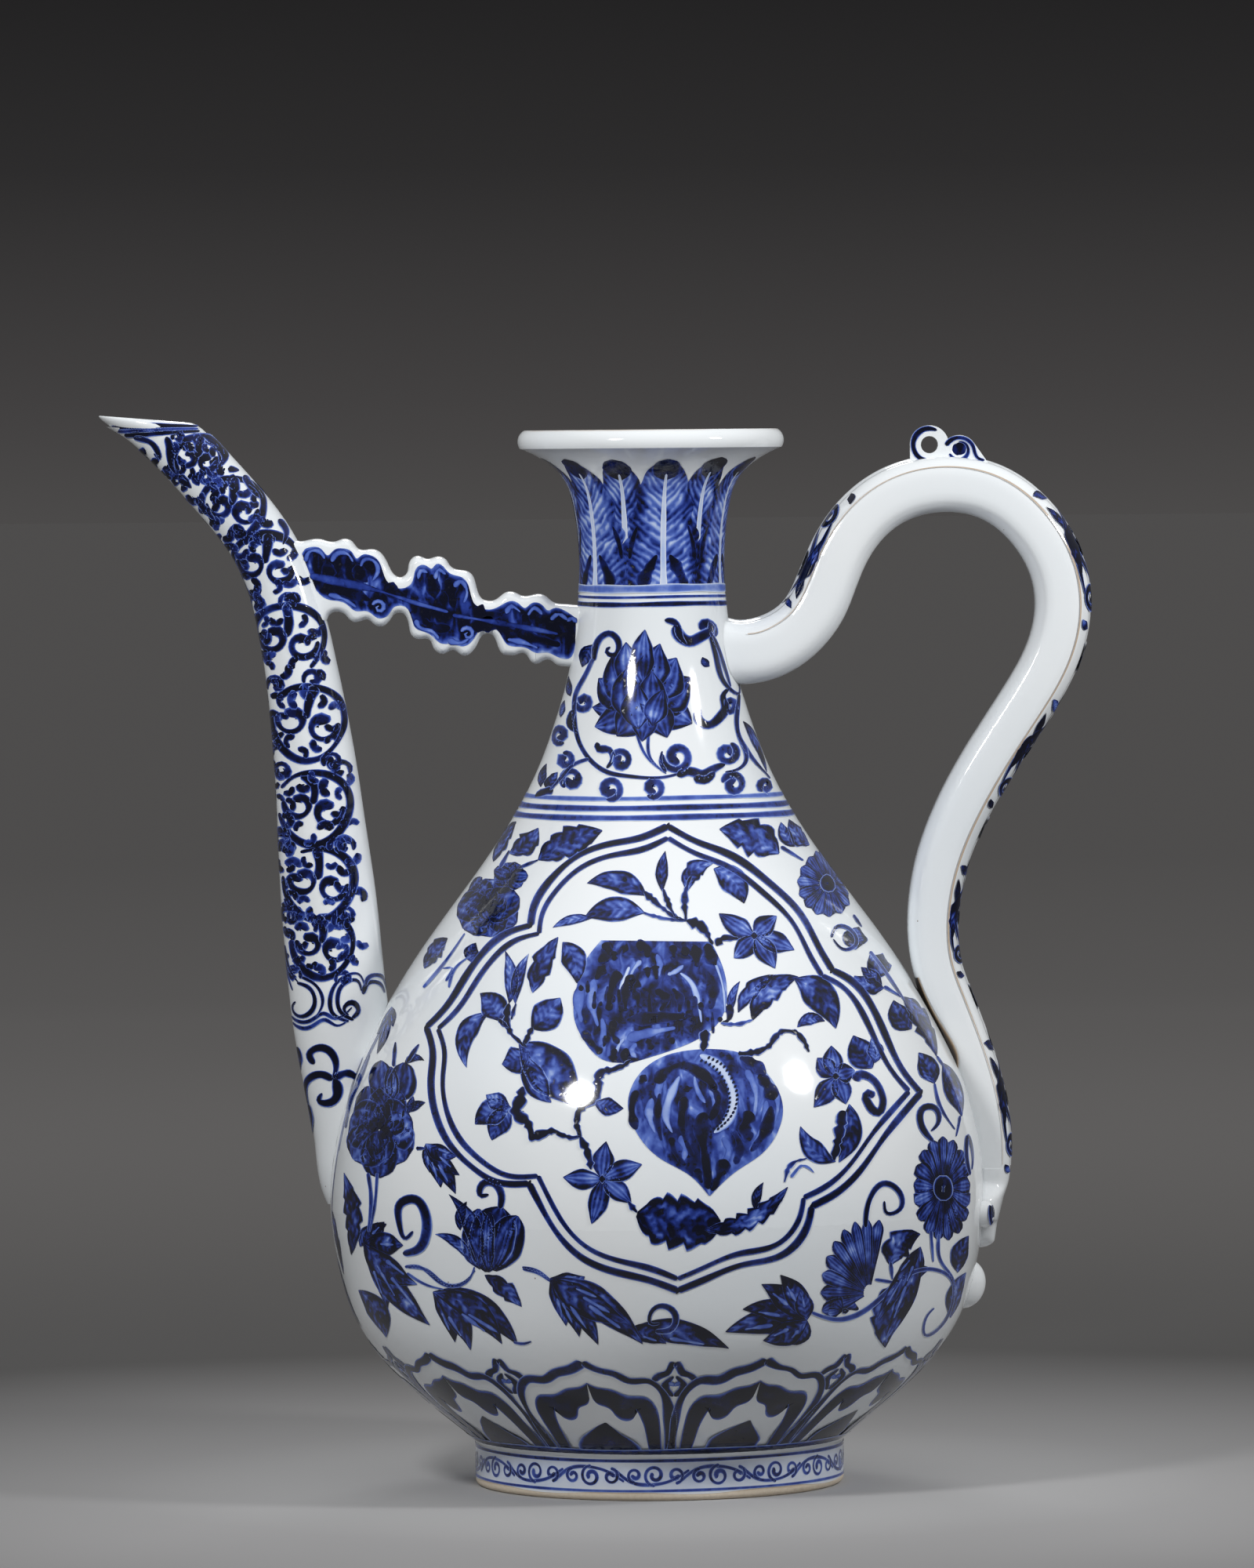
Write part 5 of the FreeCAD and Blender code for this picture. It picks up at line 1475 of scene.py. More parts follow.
def beside_spout(side):
    """Place function for the spout seen from one side."""
    middle, inward, half = spout_tube

    def place(drawing, lift):
        nearest, off, out = off_tube(spout_tube, drawing.reshape(-1, 2))
        along = off - out[:, None] * inward[nearest]
        deep = half[nearest]
        angle = turned_away(out / deep)
        way = np.stack([np.sin(angle) * SPOUT_WIDTH_SHARE, np.cos(angle)], 1)
        way /= np.linalg.norm(way, axis=1, keepdims=True)
        out = deep * np.sin(angle) + lift * way[:, 0]
        flat = middle[nearest] + along + out[:, None] * inward[nearest]
        y = side * (deep * SPOUT_WIDTH_SHARE * np.cos(angle) + lift * way[:, 1])
        return np.stack([flat[:, 0], y, flat[:, 1]], 1).reshape(*drawing.shape[:-1], 3)
    return place


# The shares run from the spout's root on the girth to its beak
ROOT_OUT, ROOT_UP, BEAK_OUT, BEAK_UP = 91.7, 78, 154.1, 300.3
spout_middle = np.stack([-(ROOT_OUT + (BEAK_OUT - ROOT_OUT) * SPOUT_LINE[:, 0]),
                         ROOT_UP + (BEAK_UP - ROOT_UP) * SPOUT_LINE[:, 1]], 1)
spout_tube = tube_line(spout_middle, SPOUT_DEPTHS)
built = mesh_points("spout_front_half")
built = built[(built[:, 2] > 120) & (built[:, 2] < 270)]
near, _, across = off_tube(spout_tube, built[:, [0, 2]])
deep = spout_tube[2][near]
oval = np.hypot(across / deep, built[:, 1] / (deep * SPOUT_WIDTH_SHARE))
print("Spout wall lies at", np.quantile(oval[oval > 0.9], [0.02, 0.5, 0.98]).round(3), "of its oval")

# %% [markdown]
# The spout carries eight rings of scroll, one above the other, each with curls and small
# comma leaves; a cloud-edged double line closes them above the root.

# %% Scroll on the spout
SPOUT_RINGS = [  # middle, radius, start and sweep of the ring in degrees
    (254, 586, 29, -20, 230), (298, 648, 39, -60, 250), (340, 722, 42, 20, 240),
    (368, 816, 46, -50, 260), (393, 920, 47, 140, -330), (401, 1028, 46, 150, -320),
    (407, 1124, 45, 120, -310), (412, 1204, 39, 100, -290)]


def tube_share(point):
    """How far off the spout's middle line a point lies, as a share of half its depth."""
    nearest, _, out = off_tube(spout_tube, point[None])
    return (out / spout_tube[2][nearest])[0]


def scroll_ring(brush, x, y, radius, start, sweep, commas=24):
    """Ring of scroll with two inner curls, a stem to them, and small hooks round about."""
    turn = np.radians(start + sweep * np.linspace(0, 1, 12))
    size = radius * (1 + 0.04 * np.sin(3 * turn))
    brush.line(np.stack([x + size * np.cos(turn), y - size * np.sin(turn)], 1), 7.4, 0.92,
               ends=(0.7, 0.8), uneven=0.25, fade=0.25)
    lean = hand.uniform(-0.3, 0.3)
    top = (x + radius * math.sin(lean), y - radius * math.cos(lean))
    brush.line([*top, x + 2, y - 0.5 * radius, x - 1, y - 0.1 * radius], 9.5, 0.97, ends=(1.2, 0.8))
    for sense in (-1, 1):
        curl = curl_points(x + sense * 0.38 * radius, y + 0.10 * radius * sense, 0.46 * radius,
                           sense * 0.95, 90 - 100 * sense)
        brush.line(curl, 6.0, 0.88, ends=(0.7, 2.1), uneven=0.2, fade=0.25)
    for index in range(commas):
        angle = 2 * math.pi * (index + 0.7 * hand.random()) / commas
        reach = radius * (0.66, 1.17, 0.84, 1.3)[index % 4]
        middle = np.array([x + reach * math.cos(angle), y + reach * math.sin(angle)])
        if not -1.02 < tube_share(brush.points(middle)[0]) < 0.8 or \
                (reach > radius and abs(math.cos(angle)) < 0.45):
            continue
        hook = curl_points(*middle, hand.uniform(0.12, 0.2) * radius, hand.choice([-0.6, 0.6]),
                           math.degrees(angle) + hand.uniform(-60, 60), 0.5, 8)
        brush.line(hook, hand.uniform(5.5, 9), hand.uniform(0.6, 1.0), ends=(0.5, 1.3), spacing=0.5,
                   fade=0.25)
    for across, up, sense in ((-0.85, -1.0, 1), (0.75, -1.05, -1), (-0.95, 0.95, -1), (0.7, 1.05, 1)):
        if -0.95 < tube_share(brush.points([x + across * radius, y + up * radius])[0]) < 0.72:
            brush.line(curl_points(x + across * radius, y + up * radius, 0.27 * radius, sense,
                                   60 * sense + 90), 5.6, 0.8, ends=(0.6, 1.7), uneven=0.25, fade=0.25)


BORDER_LINES = [  # cloud-edged double line above the root
    (3.5, 0.8, 362, 1205, 370, 1235, 382, 1252), (3.5, 0.7, 358, 1212, 366, 1242, 374, 1262),
    (4.5, 0.9, 380, 1252, 396, 1258, 403, 1275, 396, 1290, 380, 1294, 373, 1284, 378, 1276),
    (3.5, 0.8, 382, 1243, 404, 1254, 413, 1276, 404, 1295),
    (4, 0.75, 370, 1296, 385, 1302, 400, 1298, 415, 1290, 428, 1296, 442, 1290, 450, 1282),
    (4, 0.7, 372, 1304, 388, 1310, 402, 1305, 416, 1298, 430, 1305, 446, 1298),
    (5, 0.95, 450, 1296, 458, 1286, 450, 1276, 440, 1284, 446, 1292),
    (4.5, 0.9, 452, 1298, 436, 1288, 432, 1268, 440, 1252, 456, 1248, 462, 1262),
    (4, 0.8, 446, 1300, 426, 1290, 424, 1264, 436, 1246, 458, 1240, 466, 1256),
    (4.5, 0.9, 464, 1266, 470, 1252, 482, 1252, 492, 1266),
    (4, 0.8, 466, 1256, 472, 1244, 486, 1244, 497, 1262),
    (8, 1.0, 402, 1355, 396, 1343, 408, 1334, 424, 1340, 430, 1358, 426, 1374),
    (8, 0.98, 426, 1374, 410, 1368, 394, 1376, 388, 1392, 392, 1410),
    (9, 1.0, 428, 1372, 432, 1392, 422, 1404, 408, 1402, 412, 1392),
    (8, 0.98, 428, 1372, 446, 1366, 460, 1376), (7, 0.9, 378, 1335, 382, 1350, 380, 1366),
    (6, 0.8, 392, 1408, 396, 1430, 392, 1450)]
TIP_LINES = [
    (5.5, 0.97, 143, 545, 200, 543, 253, 544), (5.5, 0.97, 160, 555, 210, 552, 256, 550),
    (4, 0.6, 150, 550, 205, 548, 254, 547),
    (6, 0.85, 172, 558, 190, 562, 200, 570, 205, 584, 198, 578),
    (8, 0.95, 214, 557, 219, 572, 220, 590, 226, 604), (8, 0.9, 230, 606, 238, 614, 246, 622),
    (7, 0.85, 252, 636, 262, 648, 275, 662), (8, 0.9, 262, 556, 278, 566, 288, 584, 280, 596),
    (6, 0.8, 292, 598, 306, 600), (7, 0.85, 312, 606, 322, 622, 336, 636),
    (6, 0.85, 356, 662, 366, 678, 362, 694)]
# Small hooks along the outer edge: places on the middle line, and where the beak starts
HOOK_PLACES, HOOKS_BELOW = np.arange(118, 396, 7.5).astype(int), 293
for side, half in FLANKS:
    brush = Brush("spout_scroll_" + half, beside_spout(side), WHOLE)
    for row in SPOUT_RINGS:
        scroll_ring(brush, *row)
    brush.lines(TIP_LINES + BORDER_LINES, spacing=0.7)
    near = Brush(brush.piece, brush.place)
    for middle, inward, deep in zip(*[part[HOOK_PLACES] for part in spout_tube]):
        middle = middle - deep * hand.uniform(0.72, 1.0) * inward
        if middle[1] > HOOKS_BELOW:
            continue
        hook = curl_points(*middle, hand.uniform(0.9, 1.5), hand.choice([-0.6, 0.6]),
                           hand.uniform(0, 360), 0.5, 8)
        near.line(hook, hand.uniform(1.2, 2.0), hand.uniform(0.85, 1.05), ends=(0.6, 1.3),
                  spacing=0.5, fade=0.25)
    finish_painting("spout_scroll_" + half)

# %% [markdown]
# Strut: a slab cut like a bank of clouds. The potter cuts it from a sheet of clay, rounds its
# edge with a wet sponge and lutes it between neck and spout. It is made anew here, because
# its many small lobes need a finer surface than the frame's: sections from the upper edge to
# the lower one, each with a rounded rim and two flat faces.

# %% Closed forms from sections


def closed_form(name, grid, finish, node):
    """Closed piece from a grid of points: each row is a section, whose columns go once round
    it; both end sections are closed. It stands for a node of the frame."""
    rows, columns = grid.shape[:2]
    index = np.arange(rows * columns).reshape(rows, columns)
    index = np.concatenate([index, index[:, :1]], 1)
    quads = grid_faces(index)
    mesh = bpy.data.meshes.new(name)
    mesh.from_pydata(grid.reshape(-1, 3) * MM, [], [*quads.tolist(), index[0, :-1].tolist(),
                                                    index[-1, -2::-1].tolist()])
    mesh.polygons.foreach_set("use_smooth", np.arange(len(mesh.polygons)) < len(quads))
    mesh.materials.append(finish)
    made = linked(name, mesh)
    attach(made, "root")
    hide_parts(node)
    low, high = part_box(node)
    print(name, "has", len(mesh.polygons), "faces, from", grid.min((0, 1)).round(1), "to",
          grid.max((0, 1)).round(1), "mm; the frame's", (np.array([low, high]) / MM).round(1).tolist())
    return made


# %% [markdown]
# No two clouds of the strut's edges are alike, so both edges are read off the photograph point
# by point, from the spout to the neck.

# %% Edges of the strut
STRUT_TOP = [
    362, 676, 369, 682, 375, 686.5, 382, 689.7, 389, 689.4, 396, 687.9, 405, 686.9, 412, 687.9,
    418, 689.7, 425, 690.6, 431, 689.4, 436, 687.4, 443, 687.1, 449, 689.7, 454, 695.7, 458, 699.7,
    464, 701, 472, 700.1, 479, 700.7, 486, 704.6, 491.4, 711.4, 496.4, 721.4, 500.7, 729.3, 506, 734.3,
    511.4, 735.7, 516.4, 733.6, 519.6, 729.3, 521, 721.4, 523.6, 714.3, 528, 710, 533.6, 708.6,
    539, 710.3, 546, 712.4, 552, 711, 559, 709.4, 565, 710.6, 570, 714.3, 573.6, 720, 578, 724,
    583.6, 726, 590.7, 726.9, 598, 729, 603.6, 734.3, 606.4, 741.4, 608.6, 750, 611.4, 758, 615, 763,
    620.7, 765.4, 628, 765.7, 635, 762.6, 640.7, 758, 646.4, 754.7, 652, 754, 659, 756, 665, 758.9,
    671.4, 759.7, 679, 758.3, 688, 757.1, 694, 758.6, 699, 762, 705, 766.9, 712, 769.4, 721, 770,
    729, 770.7, 739, 771.4, 747, 771.6]
STRUT_LOW = [
    404, 808, 410, 803, 415, 796.5, 418, 790, 420, 785.5, 424, 781.7, 429, 780.3, 436, 781.4,
    441.4, 785, 446.4, 790.7, 453.6, 793.6, 460.7, 792.1, 466.4, 790.3, 471, 790.9, 475, 794.3,
    481, 798.3, 488, 799, 493.6, 795.7, 499.3, 789.3, 504.3, 783.1, 509.3, 781.7, 515, 783.3,
    519, 788.6, 521.4, 797.1, 523, 805.7, 526, 811.4, 531.4, 814.7, 539, 815, 545.7, 815, 549, 817.5,
    552, 824.3, 556.4, 830.7, 563, 834, 570.7, 832.1, 576.4, 829.3, 581, 830, 585.7, 833.6, 592, 836.4,
    598, 835, 603.6, 830, 608.6, 822.9, 613, 814.3, 618, 809, 623.6, 808, 629.3, 811.4, 633.6, 820,
    637, 828.6, 641.4, 834, 649, 835.7, 658, 835.4, 666.4, 832.9, 671.4, 835, 675.7, 841.4, 682, 846.4,
    689.3, 845, 698, 841.4, 703.6, 842.9, 709, 847.1, 717, 849.7, 726, 850.4, 738, 850.6, 747, 850.6]
STRUT_FACE = np.abs(mesh_points("spout_strut")[:, 1]).max()
EDGE_ROUND, END_SLANT, SLANT_RUN = 1.75, 9.2, 33.0


def edge_of_strut(points):
    """Levels along an edge that is drawn from left to right."""
    value = drawn_curve(from_photo(points), 0.05)[1]
    return np.maximum.accumulate(value[:, 0]), value[:, 1]


(top_x, top_z), (low_x, low_z) = edge_of_strut(STRUT_TOP), edge_of_strut(STRUT_LOW)
print("Strut's edges run from", round(top_x[0], 1), round(low_x[0], 1), "to", round(top_x[-1], 1), "mm")

# %% [markdown]
# Each section starts at the front face, goes over the upper edge, down the back, round the
# lower edge and up again. The sections crowd together where an edge runs steeply. Towards
# the spout they lean with its wall, and both ends are buried in the clay that they join.

# %% Strut as a surface of sections


def strut_surface(stations=460, rim=11, face=5):
    """Points of the strut: one parameter runs along it, the other round its section. On the rim
    the depth is the half thickness times the sine of an angle, and the edge is drawn in by the
    rounding times one minus its cosine; the faces join the two rims by straight lines."""
    x = np.linspace(top_x[0], top_x[-1], 4000)

    def low_place(x):
        """Where a section that leans with the spout's wall meets the lower edge."""
        return np.minimum(x + END_SLANT * np.clip(1 - (x - x[0]) / SLANT_RUN, 0, 1), low_x[-1])

    upper, lower = np.interp(x, top_x, top_z), np.interp(low_place(x), low_x, low_z)
    run = np.concatenate([[0], np.cumsum(np.diff(x) + abs(np.diff(upper)) + abs(np.diff(lower)))])
    x = np.interp(np.linspace(0, run[-1], stations), run, x)
    edges = []
    for across, edge_x, edge_z, sense in ((x, top_x, top_z, 1), (low_place(x), low_x, low_z, -1)):
        line_here = np.stack([across, np.interp(across, edge_x, edge_z)], 1)
        slope = np.gradient(line_here, axis=0)
        slope /= np.linalg.norm(slope, axis=1, keepdims=True)
        edges.append((line_here, sense * np.stack([slope[:, 1], -slope[:, 0]], 1)))
    turn = np.linspace(-math.pi / 2, math.pi / 2, rim)
    crest = np.cos(turn)
    over = edges[0][0][:, None] + edges[0][1][:, None] * (EDGE_ROUND * (1 - crest))[:, None]
    under = edges[1][0][:, None] + edges[1][1][:, None] * (EDGE_ROUND * (1 - crest))[:, None]
    depth = STRUT_FACE * np.sin(turn)
    share = np.linspace(0, 1, face + 2)[1:-1, None]
    down = over[:, -1:] * (1 - share) + under[:, :1] * share
    flat = np.concatenate([over, down, under, down[:, ::-1]], 1)
    y = np.concatenate([depth, np.full(face, STRUT_FACE), -depth, np.full(face, -STRUT_FACE)])
    crests = np.concatenate([crest, np.zeros(face), crest, np.zeros(face)])
    grid = np.stack([flat[..., 0], np.broadcast_to(y, flat.shape[:2]), flat[..., 1]], -1)
    return grid, np.broadcast_to(crests, flat.shape[:2])


def crest_on(tree):
    """How near a point of the strut lies to the crest of its rim."""
    return add(tree, "Attribute", attribute_name="crest").outputs["Fac"]


strut_finish = tan_edged("strut_finish", crest_on, (14.0, -13.1), 70.0, (2.4, -0.75),
                         (0.42, 0.30, 0.20))
grid, crests = strut_surface()
strut = closed_form("cloud_strut", grid, strut_finish, "spout_strut")
strut.data.attributes.new("crest", "FLOAT", "POINT").data.foreach_set("value", crests.ravel())

# %% [markdown]
# The strut's faces are flooded with dark blue inside a white rim. The brush left paler edges
# along each cloud and a pale rib through the middle.

# %% Cloud panel of the strut
PANEL_TOP = [
    386, 706, 390, 700, 399, 697, 411, 700, 419, 708, 427, 701, 438, 699, 450, 704, 456, 712, 463, 707,
    471, 707, 481, 712, 487, 722, 491, 735, 500, 746, 513, 750, 525, 744, 529, 732, 532, 724, 538, 720,
    546, 722, 551, 725, 557, 719, 565, 721, 572, 729, 580, 733, 590, 736, 598, 746, 602, 764, 614, 775,
    630, 776, 642, 770, 652, 766, 662, 769, 670, 775, 678, 769, 686, 768, 694, 773, 699, 778, 707, 775,
    716, 776, 727, 782, 735, 788]
PANEL_LOW = [
    404, 752, 416, 763, 441, 769, 455, 779, 469, 779, 483, 788, 496, 784, 502, 775, 513, 772, 524, 781,
    530, 800, 548, 808, 563, 820, 577, 821, 591, 824, 602, 818, 610, 806, 618, 799, 630, 800, 639, 809,
    648, 822, 672, 826, 683, 832, 699, 832, 713, 838, 727, 839, 734, 822]
CLOUD_EDGES = [
    (391, 716, 396, 703, 408, 703, 415, 712), (424, 716, 430, 706, 442, 705, 451, 716),
    (461, 722, 466, 713, 476, 714, 483, 726, 476, 740), (534, 738, 538, 727, 546, 730),
    (556, 738, 560, 726, 569, 732), (580, 748, 588, 741, 596, 752, 592, 768),
    (646, 782, 652, 773, 664, 780), (674, 784, 682, 775, 692, 783), (703, 790, 712, 783, 724, 790),
    (420, 758, 440, 764, 455, 774), (531, 790, 536, 800, 550, 804, 560, 814),
    (572, 816, 590, 819, 600, 812), (648, 815, 672, 820, 686, 826), (724, 792, 730, 788, 736, 794)]
RIBS = [(6, 0.5, 396, 734, 440, 743, 480, 752, 520, 765, 572, 780),
        (5, 0.52, 578, 784, 620, 791, 660, 798, 712, 808)]
STRUT_DARKS = [
    (418, 716, 420, 730, 424, 745), (456, 718, 460, 732, 470, 742), (492, 744, 505, 756, 520, 758),
    (551, 732, 553, 748, 556, 765), (574, 736, 576, 755, 580, 778), (604, 776, 620, 784, 640, 782),
    (670, 782, 671, 792, 674, 802), (540, 790, 555, 800, 575, 800), (600, 800, 625, 796, 645, 804),
    (660, 808, 690, 816, 715, 822), (425, 750, 450, 756, 475, 766)]
DARK_STROKE, PALE_EDGE = (11, 0.97), (4.5, 0.34)
for side, face in FLANKS:
    def on_strut(drawing, lift, side=side):
        """Place on a flat face of the strut."""
        level = np.full(drawing.shape[:-1], side * (STRUT_FACE + lift))
        return np.stack([drawing[..., 0], level, drawing[..., 1]], -1)
    brush = Brush("strut_clouds_" + face, on_strut, WHOLE)
    brush.wash(PANEL_TOP, PANEL_LOW, 0.82, soft=0.3, columns=13, spacing=0.7)
    brush.lines([(*DARK_STROKE, *row) for row in STRUT_DARKS], fade=0.68, lift=0.15, uneven=0.3)
    brush.lines([(*PALE_EDGE, *row) for row in CLOUD_EDGES], fade=0.66, lift=0.18, uneven=0.3)
    brush.lines(RIBS, fade=0.72, lift=0.17, uneven=0.4)
    for x, y in ((484, 774), (597, 808)):
        brush.line(curl_points(x, y, 9, 1.2, 200), 4, 0.3, fade=0.6, lift=0.19)
    finish_painting("strut_clouds_" + face)

# %% [markdown]
# Handle: the domed outer band carries a running scroll whose curls and leaves reach its edges,
# where they show from the side. The drawing is bent over the band: right is the length from
# the neck, up is the way round the rounded section.

# %% Places on the handle
HANDLE_LINE = np.array([
    (-0.1, 0.739), (0.005, 0.739), (0.082, 0.74), (0.156, 0.754), (0.221, 0.78), (0.269, 0.822),
    (0.309, 0.868), (0.357, 0.905), (0.45, 0.943), (0.602, 0.961), (0.737, 0.947), (0.853, 0.899),
    (0.912, 0.842), (0.92, 0.779), (0.884, 0.721), (0.816, 0.664), (0.718, 0.591), (0.637, 0.521),
    (0.584, 0.455), (0.559, 0.382), (0.566, 0.324), (0.605, 0.266), (0.65, 0.208), (0.683, 0.156),
    (0.701, 0.109), (0.704, 0.056), (0.7, 0.0)])
HANDLE_DEPTHS = np.array([(0, 19), (0.1, 16.4), (0.2, 15.8), (0.62, 15.2), (0.8, 13.5), (1, 13)])
# The shares run from the neck's side to the handle's outermost place, and up to its top
HANDLE_IN, HANDLE_OUT, HANDLE_FOOT, HANDLE_TOP = 20.9, 122.6, 78, 287.2
HANDLE_SIZE = (HANDLE_OUT - HANDLE_IN, HANDLE_TOP - HANDLE_FOOT)
handle_middle = (HANDLE_IN, HANDLE_FOOT) + HANDLE_LINE * HANDLE_SIZE
handle_tube = tube_line(handle_middle, HANDLE_DEPTHS, 1200)
handle_length = np.linalg.norm(np.diff(handle_middle, axis=0), axis=1).sum()
# Section of the handle from inside over one edge, the outer band, and the other edge:
# millimetres across and share of the depth
OUTER_HALF = [(0, 0.5), (6.2, 0.47), (9.2, 0.3), (10, 0), (9.6, -0.3), (7.2, -0.44), (0, -0.5)]
SECTION = np.array([(-y, share) for y, share in OUTER_HALF[:0:-1]] + OUTER_HALF)
COMMON_DEPTH, BAND_CLEARANCE = 15.2, 0.22
section_knots = running_length(SECTION * (1, COMMON_DEPTH))
over_back = smooth_line(section_knots - section_knots[-1] / 2, SECTION)


def on_back(drawing, lift):
    """Place on the handle's outer band, clear of its small unevenness."""
    lift = lift + BAND_CLEARANCE
    shares = np.linspace(0, 1, len(handle_tube[0]))
    share = drawing[..., 0] / handle_length
    middle, inward = [np.stack([np.interp(share, shares, part[:, i]) for i in (0, 1)], -1)
                      for part in handle_tube[:2]]
    depth = 2 * np.interp(share, shares, handle_tube[2])
    value, slope = over_back(drawing[..., 1])
    across, fall = slope[..., 0], depth * slope[..., 1]
    size = np.hypot(across, fall)
    flat = middle - (depth * value[..., 1] + lift * across / size)[..., None] * inward
    return np.stack([flat[..., 0], value[..., 0] - lift * fall / size, flat[..., 1]], -1)


built = mesh_points("handle_back")
near, _, inwards = off_tube(handle_tube, built[:, [0, 2]])
sampled = over_back(np.linspace(-11, 11, 400))[0]
expected = np.interp(built[:, 1], sampled[:, 0], sampled[:, 1]) * 2 * handle_tube[2][near]
gap = -inwards - expected
gap = gap[(gap > -1) & (built[:, 2] > 95)]
print("Band lies off its section by", np.quantile(gap, [0.02, 0.5, 0.98]).round(2), "mm")


# %% [markdown]
# A waving stem runs down the band. At each of its turns it throws a dark leaf, curls and
# commas out to the edge, which is what shows from the side.

# %% Scroll along the handle
WAVE, WAVE_MIDDLE, REACH = 54.5, 185.0, 7.8
handle_brush = Brush("handle_scroll", on_back)


def paint_scroll(brush, first, last, middle):
    """Waving stem with a dark leaf, curls and commas at each of its turns."""
    along = np.linspace(first, last, int((last - first) / 6))
    brush.line(np.stack([along, -REACH * np.cos(2 * math.pi * (along - middle) / WAVE)], 1), 1.4, 0.86,
               ends=(0.8, 0.8), lift=0.12)
    turns = np.arange(-6, 7) * WAVE / 2 + middle
    for order, at in zip(range(-6, 7), turns):
        if not first + 6 < at < last - 12:
            continue
        side = -1 if order % 2 == 0 else 1
        brush.leaf(at - 7, 6.0 * side, at + 7, 8.6 * side, 3.6, 0.06 * side, 3, 1.0, lift=0.16)
        brush.leaf(at - 3, 8.0 * side, at - 11, 8.9 * side, 2.0, 0.06 * side, 0, 1.0, kind="slim",
                   lift=0.15)
        brush.line([at + 2, 9.0 * side, at + 8, 9.1 * side, at + 12, 8.6 * side], 0.9, 0.95)
        brush.line(curl_points(at + 12.5, 5.9 * side, 3.2, 1.3 * side, -90 * side), 1.3, 0.95,
                   ends=(0.8, 1.8), spacing=0.5)
        brush.line(curl_points(at - 1, -1.2 * side, 3.9, -1.4 * side, 90 * side), 1.4, 0.9,
                   ends=(0.8, 1.8), spacing=0.5)
        brush.leaf(at - 15, 9.2 * side, at - 12, 5.4 * side, 2.2, 0.1, 0, 0.85, kind="slim")
        brush.leaf(at + 8.5, 2.2 * side, at + 15, 0.4 * side, 2.6, 0.1 * side, 0, 0.8)
        brush.leaf(at + 18, 9.3 * side, at + 20, 6.6 * side, 1.8, -0.1, 0, 0.85, kind="slim")


paint_scroll(handle_brush, 27, 77, 50)
paint_scroll(handle_brush, 120, handle_length - 11, WAVE_MIDDLE)
seam = np.linspace(16, handle_length - 11, 60)
for side in (-1, 1):
    handle_brush.line(np.stack([seam, side * (10.2 + 0.1 * np.sin(seam / 9))], 1), 0.34, 0.3, fade=0.1,
                      finish=STAIN_AND_SHADE, uneven=0.4)
# Painted shade in the narrow cleft between handle and belly: a near-black wash that thins to kiln brown
# at its edges
handle_brush.wash([256, -21.8, 263, -21, 269, -19.8, 275, -18.4, 280, -18.2, 284, -20],
                  [256, -29, 263, -29, 269, -29, 275, -28.4, 280, -27, 284, -24.5], 0.95, finish=STAIN_AND_SHADE,
                  soft=0.1, lift=0.0)
finish_painting("handle_scroll")

# %% [markdown]
# The lower end of the handle is pressed out into a little cloud-shaped plate. Like the strut
# it is made anew, so that the handle's round section runs on into the plate without a step,
# and the plate's face rolls over softly to the wall.

# %% Plate under the handle
PLATE_OUTLINE = [9.57, 88, 10.15, 83.9, 14.2, 80.2, 14.2, 74.2, 9.0, 72.4, 5.8, 67.8, 0.4, 65.0]
PLATE_FACE = np.array([(65, 94.2), (68, 94.6), (72, 95.2), (76, 96.2), (80, 97.2), (84, 98.2),
                       (88, 98.85)])
HANDLE_END = np.array([  # the handle's section at its lower end: across and out from the axis
    (0, 98.87), (3.9, 98.85), (5.88, 98.68), (7.08, 98.27), (8.27, 97.49), (9.04, 96.63), (9.48, 95.8),
    (9.72, 95.0), (9.88, 94.1), (10.0, 92.95), (10.1, 90.8)])
TIP_ROUND, SUNK, SQUARE, BLEND_FROM, BLEND_RUN = 2.4, 0.6, 3.6, 79, 9


def plate_surface(rows=90, columns=45):
    """Sections at falling levels. Each goes across the plate by an angle: half the width times
    its sine and the rise times its cosine, both to a power that squares them off; near the
    handle it blends into the handle's own section. A straight line inside the wall closes it."""
    outline = drawn_curve(np.reshape(PLATE_OUTLINE, (-1, 2)), 0.05)[1]
    pick = np.linspace(0, len(outline) - 1, rows).astype(int)
    width, level = outline[pick, 0], np.minimum.accumulate(outline[pick, 1])
    wall = body_outline(level)[0][:, 0]
    turn = np.linspace(-math.pi / 2, math.pi / 2, columns)
    y = width[:, None] * np.sign(turn) * abs(np.sin(turn)) ** (2 / SQUARE)
    near_tip = np.clip((level - level[-1]) / TIP_ROUND, 0, 1)
    rise = (np.interp(level, *PLATE_FACE.T) - wall + SUNK) * np.sqrt(1 - (1 - near_tip) ** 2)
    far = wall[:, None] - SUNK + rise[:, None] * np.cos(turn) ** (2 / SQUARE)
    x = np.sqrt(far ** 2 - y ** 2)
    run = running_length(HANDLE_END)
    share = abs(np.linspace(-1, 1, columns)) * run[-1]
    end_y = np.sign(turn) * np.interp(share, run, HANDLE_END[:, 0])
    end_x = np.interp(share, run, HANDLE_END[:, 1])
    blend_in = np.clip((level - BLEND_FROM) / BLEND_RUN, 0, 1)[:, None]
    blend_in = blend_in ** 2 * (3 - 2 * blend_in)
    y, x = y + (end_y - y) * blend_in, x + (end_x - x) * blend_in
    z = np.broadcast_to(level[:, None], x.shape)
    inside = [(x[:1] - 0.9, 0.9 * y[:1], z[:1] + 1.5), (x, y, z)]
    x, y, z = [np.concatenate(parts) for parts in zip(*inside)]
    chord = np.linspace(1, 0, 5)[1:-1]
    back = [part[:, -1:] * chord + part[:, :1] * (1 - chord) for part in (x, y, z)]
    return np.stack([np.concatenate(pair, 1) for pair in zip((x, y, z), back)], -1)


closed_form("handle_plate", plate_surface(), glaze_finish, "handle_terminal")
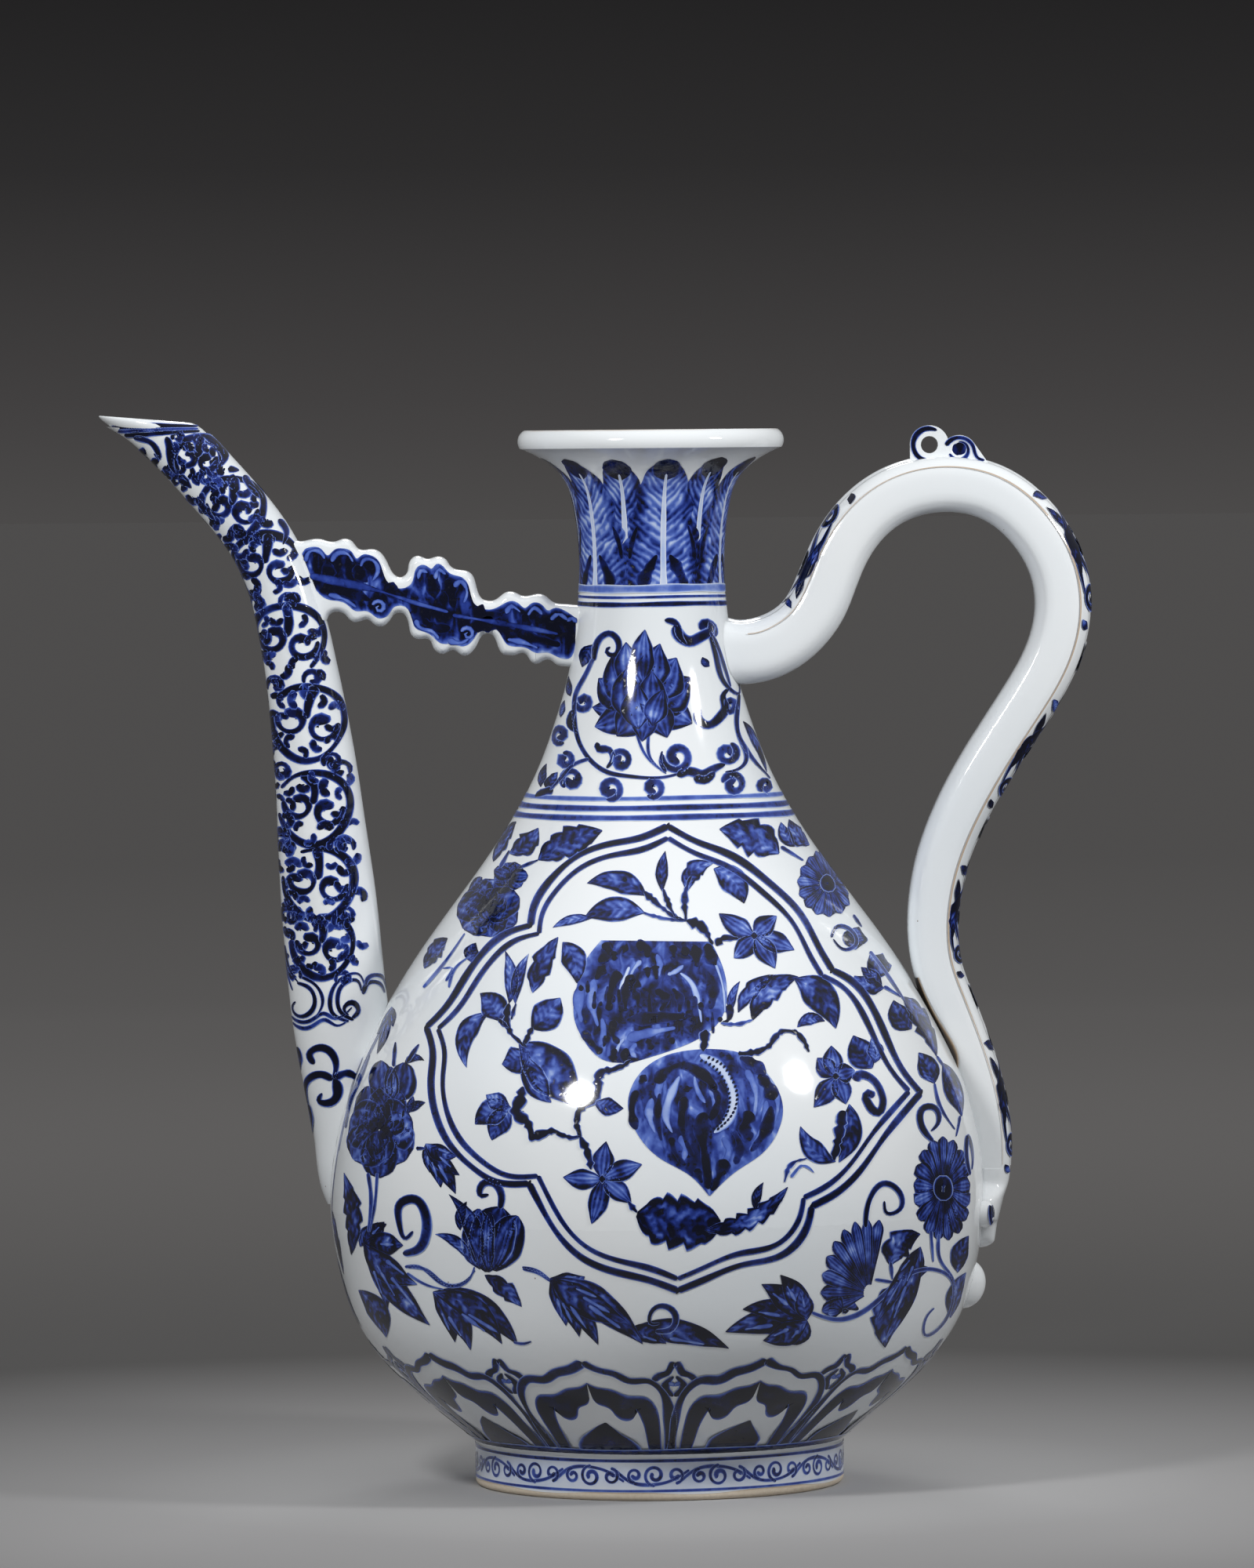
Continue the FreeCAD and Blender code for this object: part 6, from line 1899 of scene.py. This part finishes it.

# %% [markdown]
# The cord loop is outlined on both faces, and a blue wash in its round hollow paints the hollow's
# shade; the curls beside the terminal carry a small spiral round their eye.

# %% Loop and curls
LOOP_FACE, RING_X, RING_Z, LOBE_X, LOBE_Z = 3.0, 77.85, 290.08, 86.15, 287.68
HOLLOW_Z, HOLLOW_RADIUS, HOLLOW_DEEP = 289.04, 2.6, 0.8
ball = (HOLLOW_RADIUS ** 2 + HOLLOW_DEEP ** 2) / (2 * HOLLOW_DEEP)
CURL_TURN, CURL_LEVEL = math.radians(9.6), 75.58
CURL_DOME = np.array([(0, 93.75), (0.9, 94.1), (1.25, 95.0), (2, 94.82), (2.5, 94.65), (3, 94.25),
                      (3.6, 93.6)])
RING_LINE, LOBE_LINE = 4.55, 4.3
for side, name in FLANKS:
    def on_loop(drawing, lift, side=side):
        """Place on a face of the cord loop, down into its round hollow."""
        off = np.hypot(drawing[..., 0] - LOBE_X, drawing[..., 1] - HOLLOW_Z)
        fall = np.sqrt(ball ** 2 - np.minimum(off, HOLLOW_RADIUS) ** 2) - (ball - HOLLOW_DEEP)
        return np.stack([drawing[..., 0], side * (LOOP_FACE - fall + lift), drawing[..., 1]], -1)

    def on_curl(drawing, lift, side=side):
        """Place on the dome of a curl, seen along the line square to the wall."""
        far = np.interp(np.hypot(drawing[..., 0], drawing[..., 1]), *CURL_DOME.T) + lift
        across = drawing[..., 0]
        return np.stack([far * math.cos(CURL_TURN) - across * math.sin(CURL_TURN),
                         side * (far * math.sin(CURL_TURN) + across * math.cos(CURL_TURN)),
                         CURL_LEVEL + drawing[..., 1]], -1)

    brush = Brush("loop_paint_" + name, on_loop)
    turn = np.radians([62, 95, 130, 165, 200, 235, 262])
    ring_points = np.stack([RING_X + RING_LINE * np.cos(turn), RING_Z + RING_LINE * np.sin(turn)], 1)
    brush.line(ring_points, 1.15, 0.97, ends=(0.5, 0.9), spacing=0.4)
    turn = np.radians([150, 120, 90, 60, 30, 5])
    lobe = np.stack([LOBE_X + LOBE_LINE * np.cos(turn), LOBE_Z + LOBE_LINE * np.sin(turn)], 1)
    brush.line(np.concatenate([lobe, [(91.2, 286.4), (93.2, 285.6)]]), 0.95, 0.8, ends=(0.9, 0.5),
               spacing=0.4)
    brush.line(curl_points(LOBE_X, HOLLOW_Z - 0.5, 2.9, 0.7, 200, 0.8), 0.8, 0.7, spacing=0.4)
    # Painted shade: a blue wash inside the round hollow
    brush.leaf(LOBE_X - 1.9, HOLLOW_Z - 0.7, LOBE_X + 1.9, HOLLOW_Z + 0.3, 3.0, 0, 0, 0.66, kind="round",
               finish=FRUIT, lift=0.08, rim=0.5, spacing=0.3)
    finish_painting("loop_paint_" + name)
    brush = Brush("curl_paint_" + name, on_curl)
    brush.line(curl_points(0, 0, 2.95, 1.25 * side, 60, 0.62), 0.85, 0.93, ends=(0.8, 0.8), spacing=0.3)
    brush.line([-0.3, 0.5, 0, 0, 0.2, -0.5], 0.9, 0.9, spacing=0.2)
    finish_painting("curl_paint_" + name)
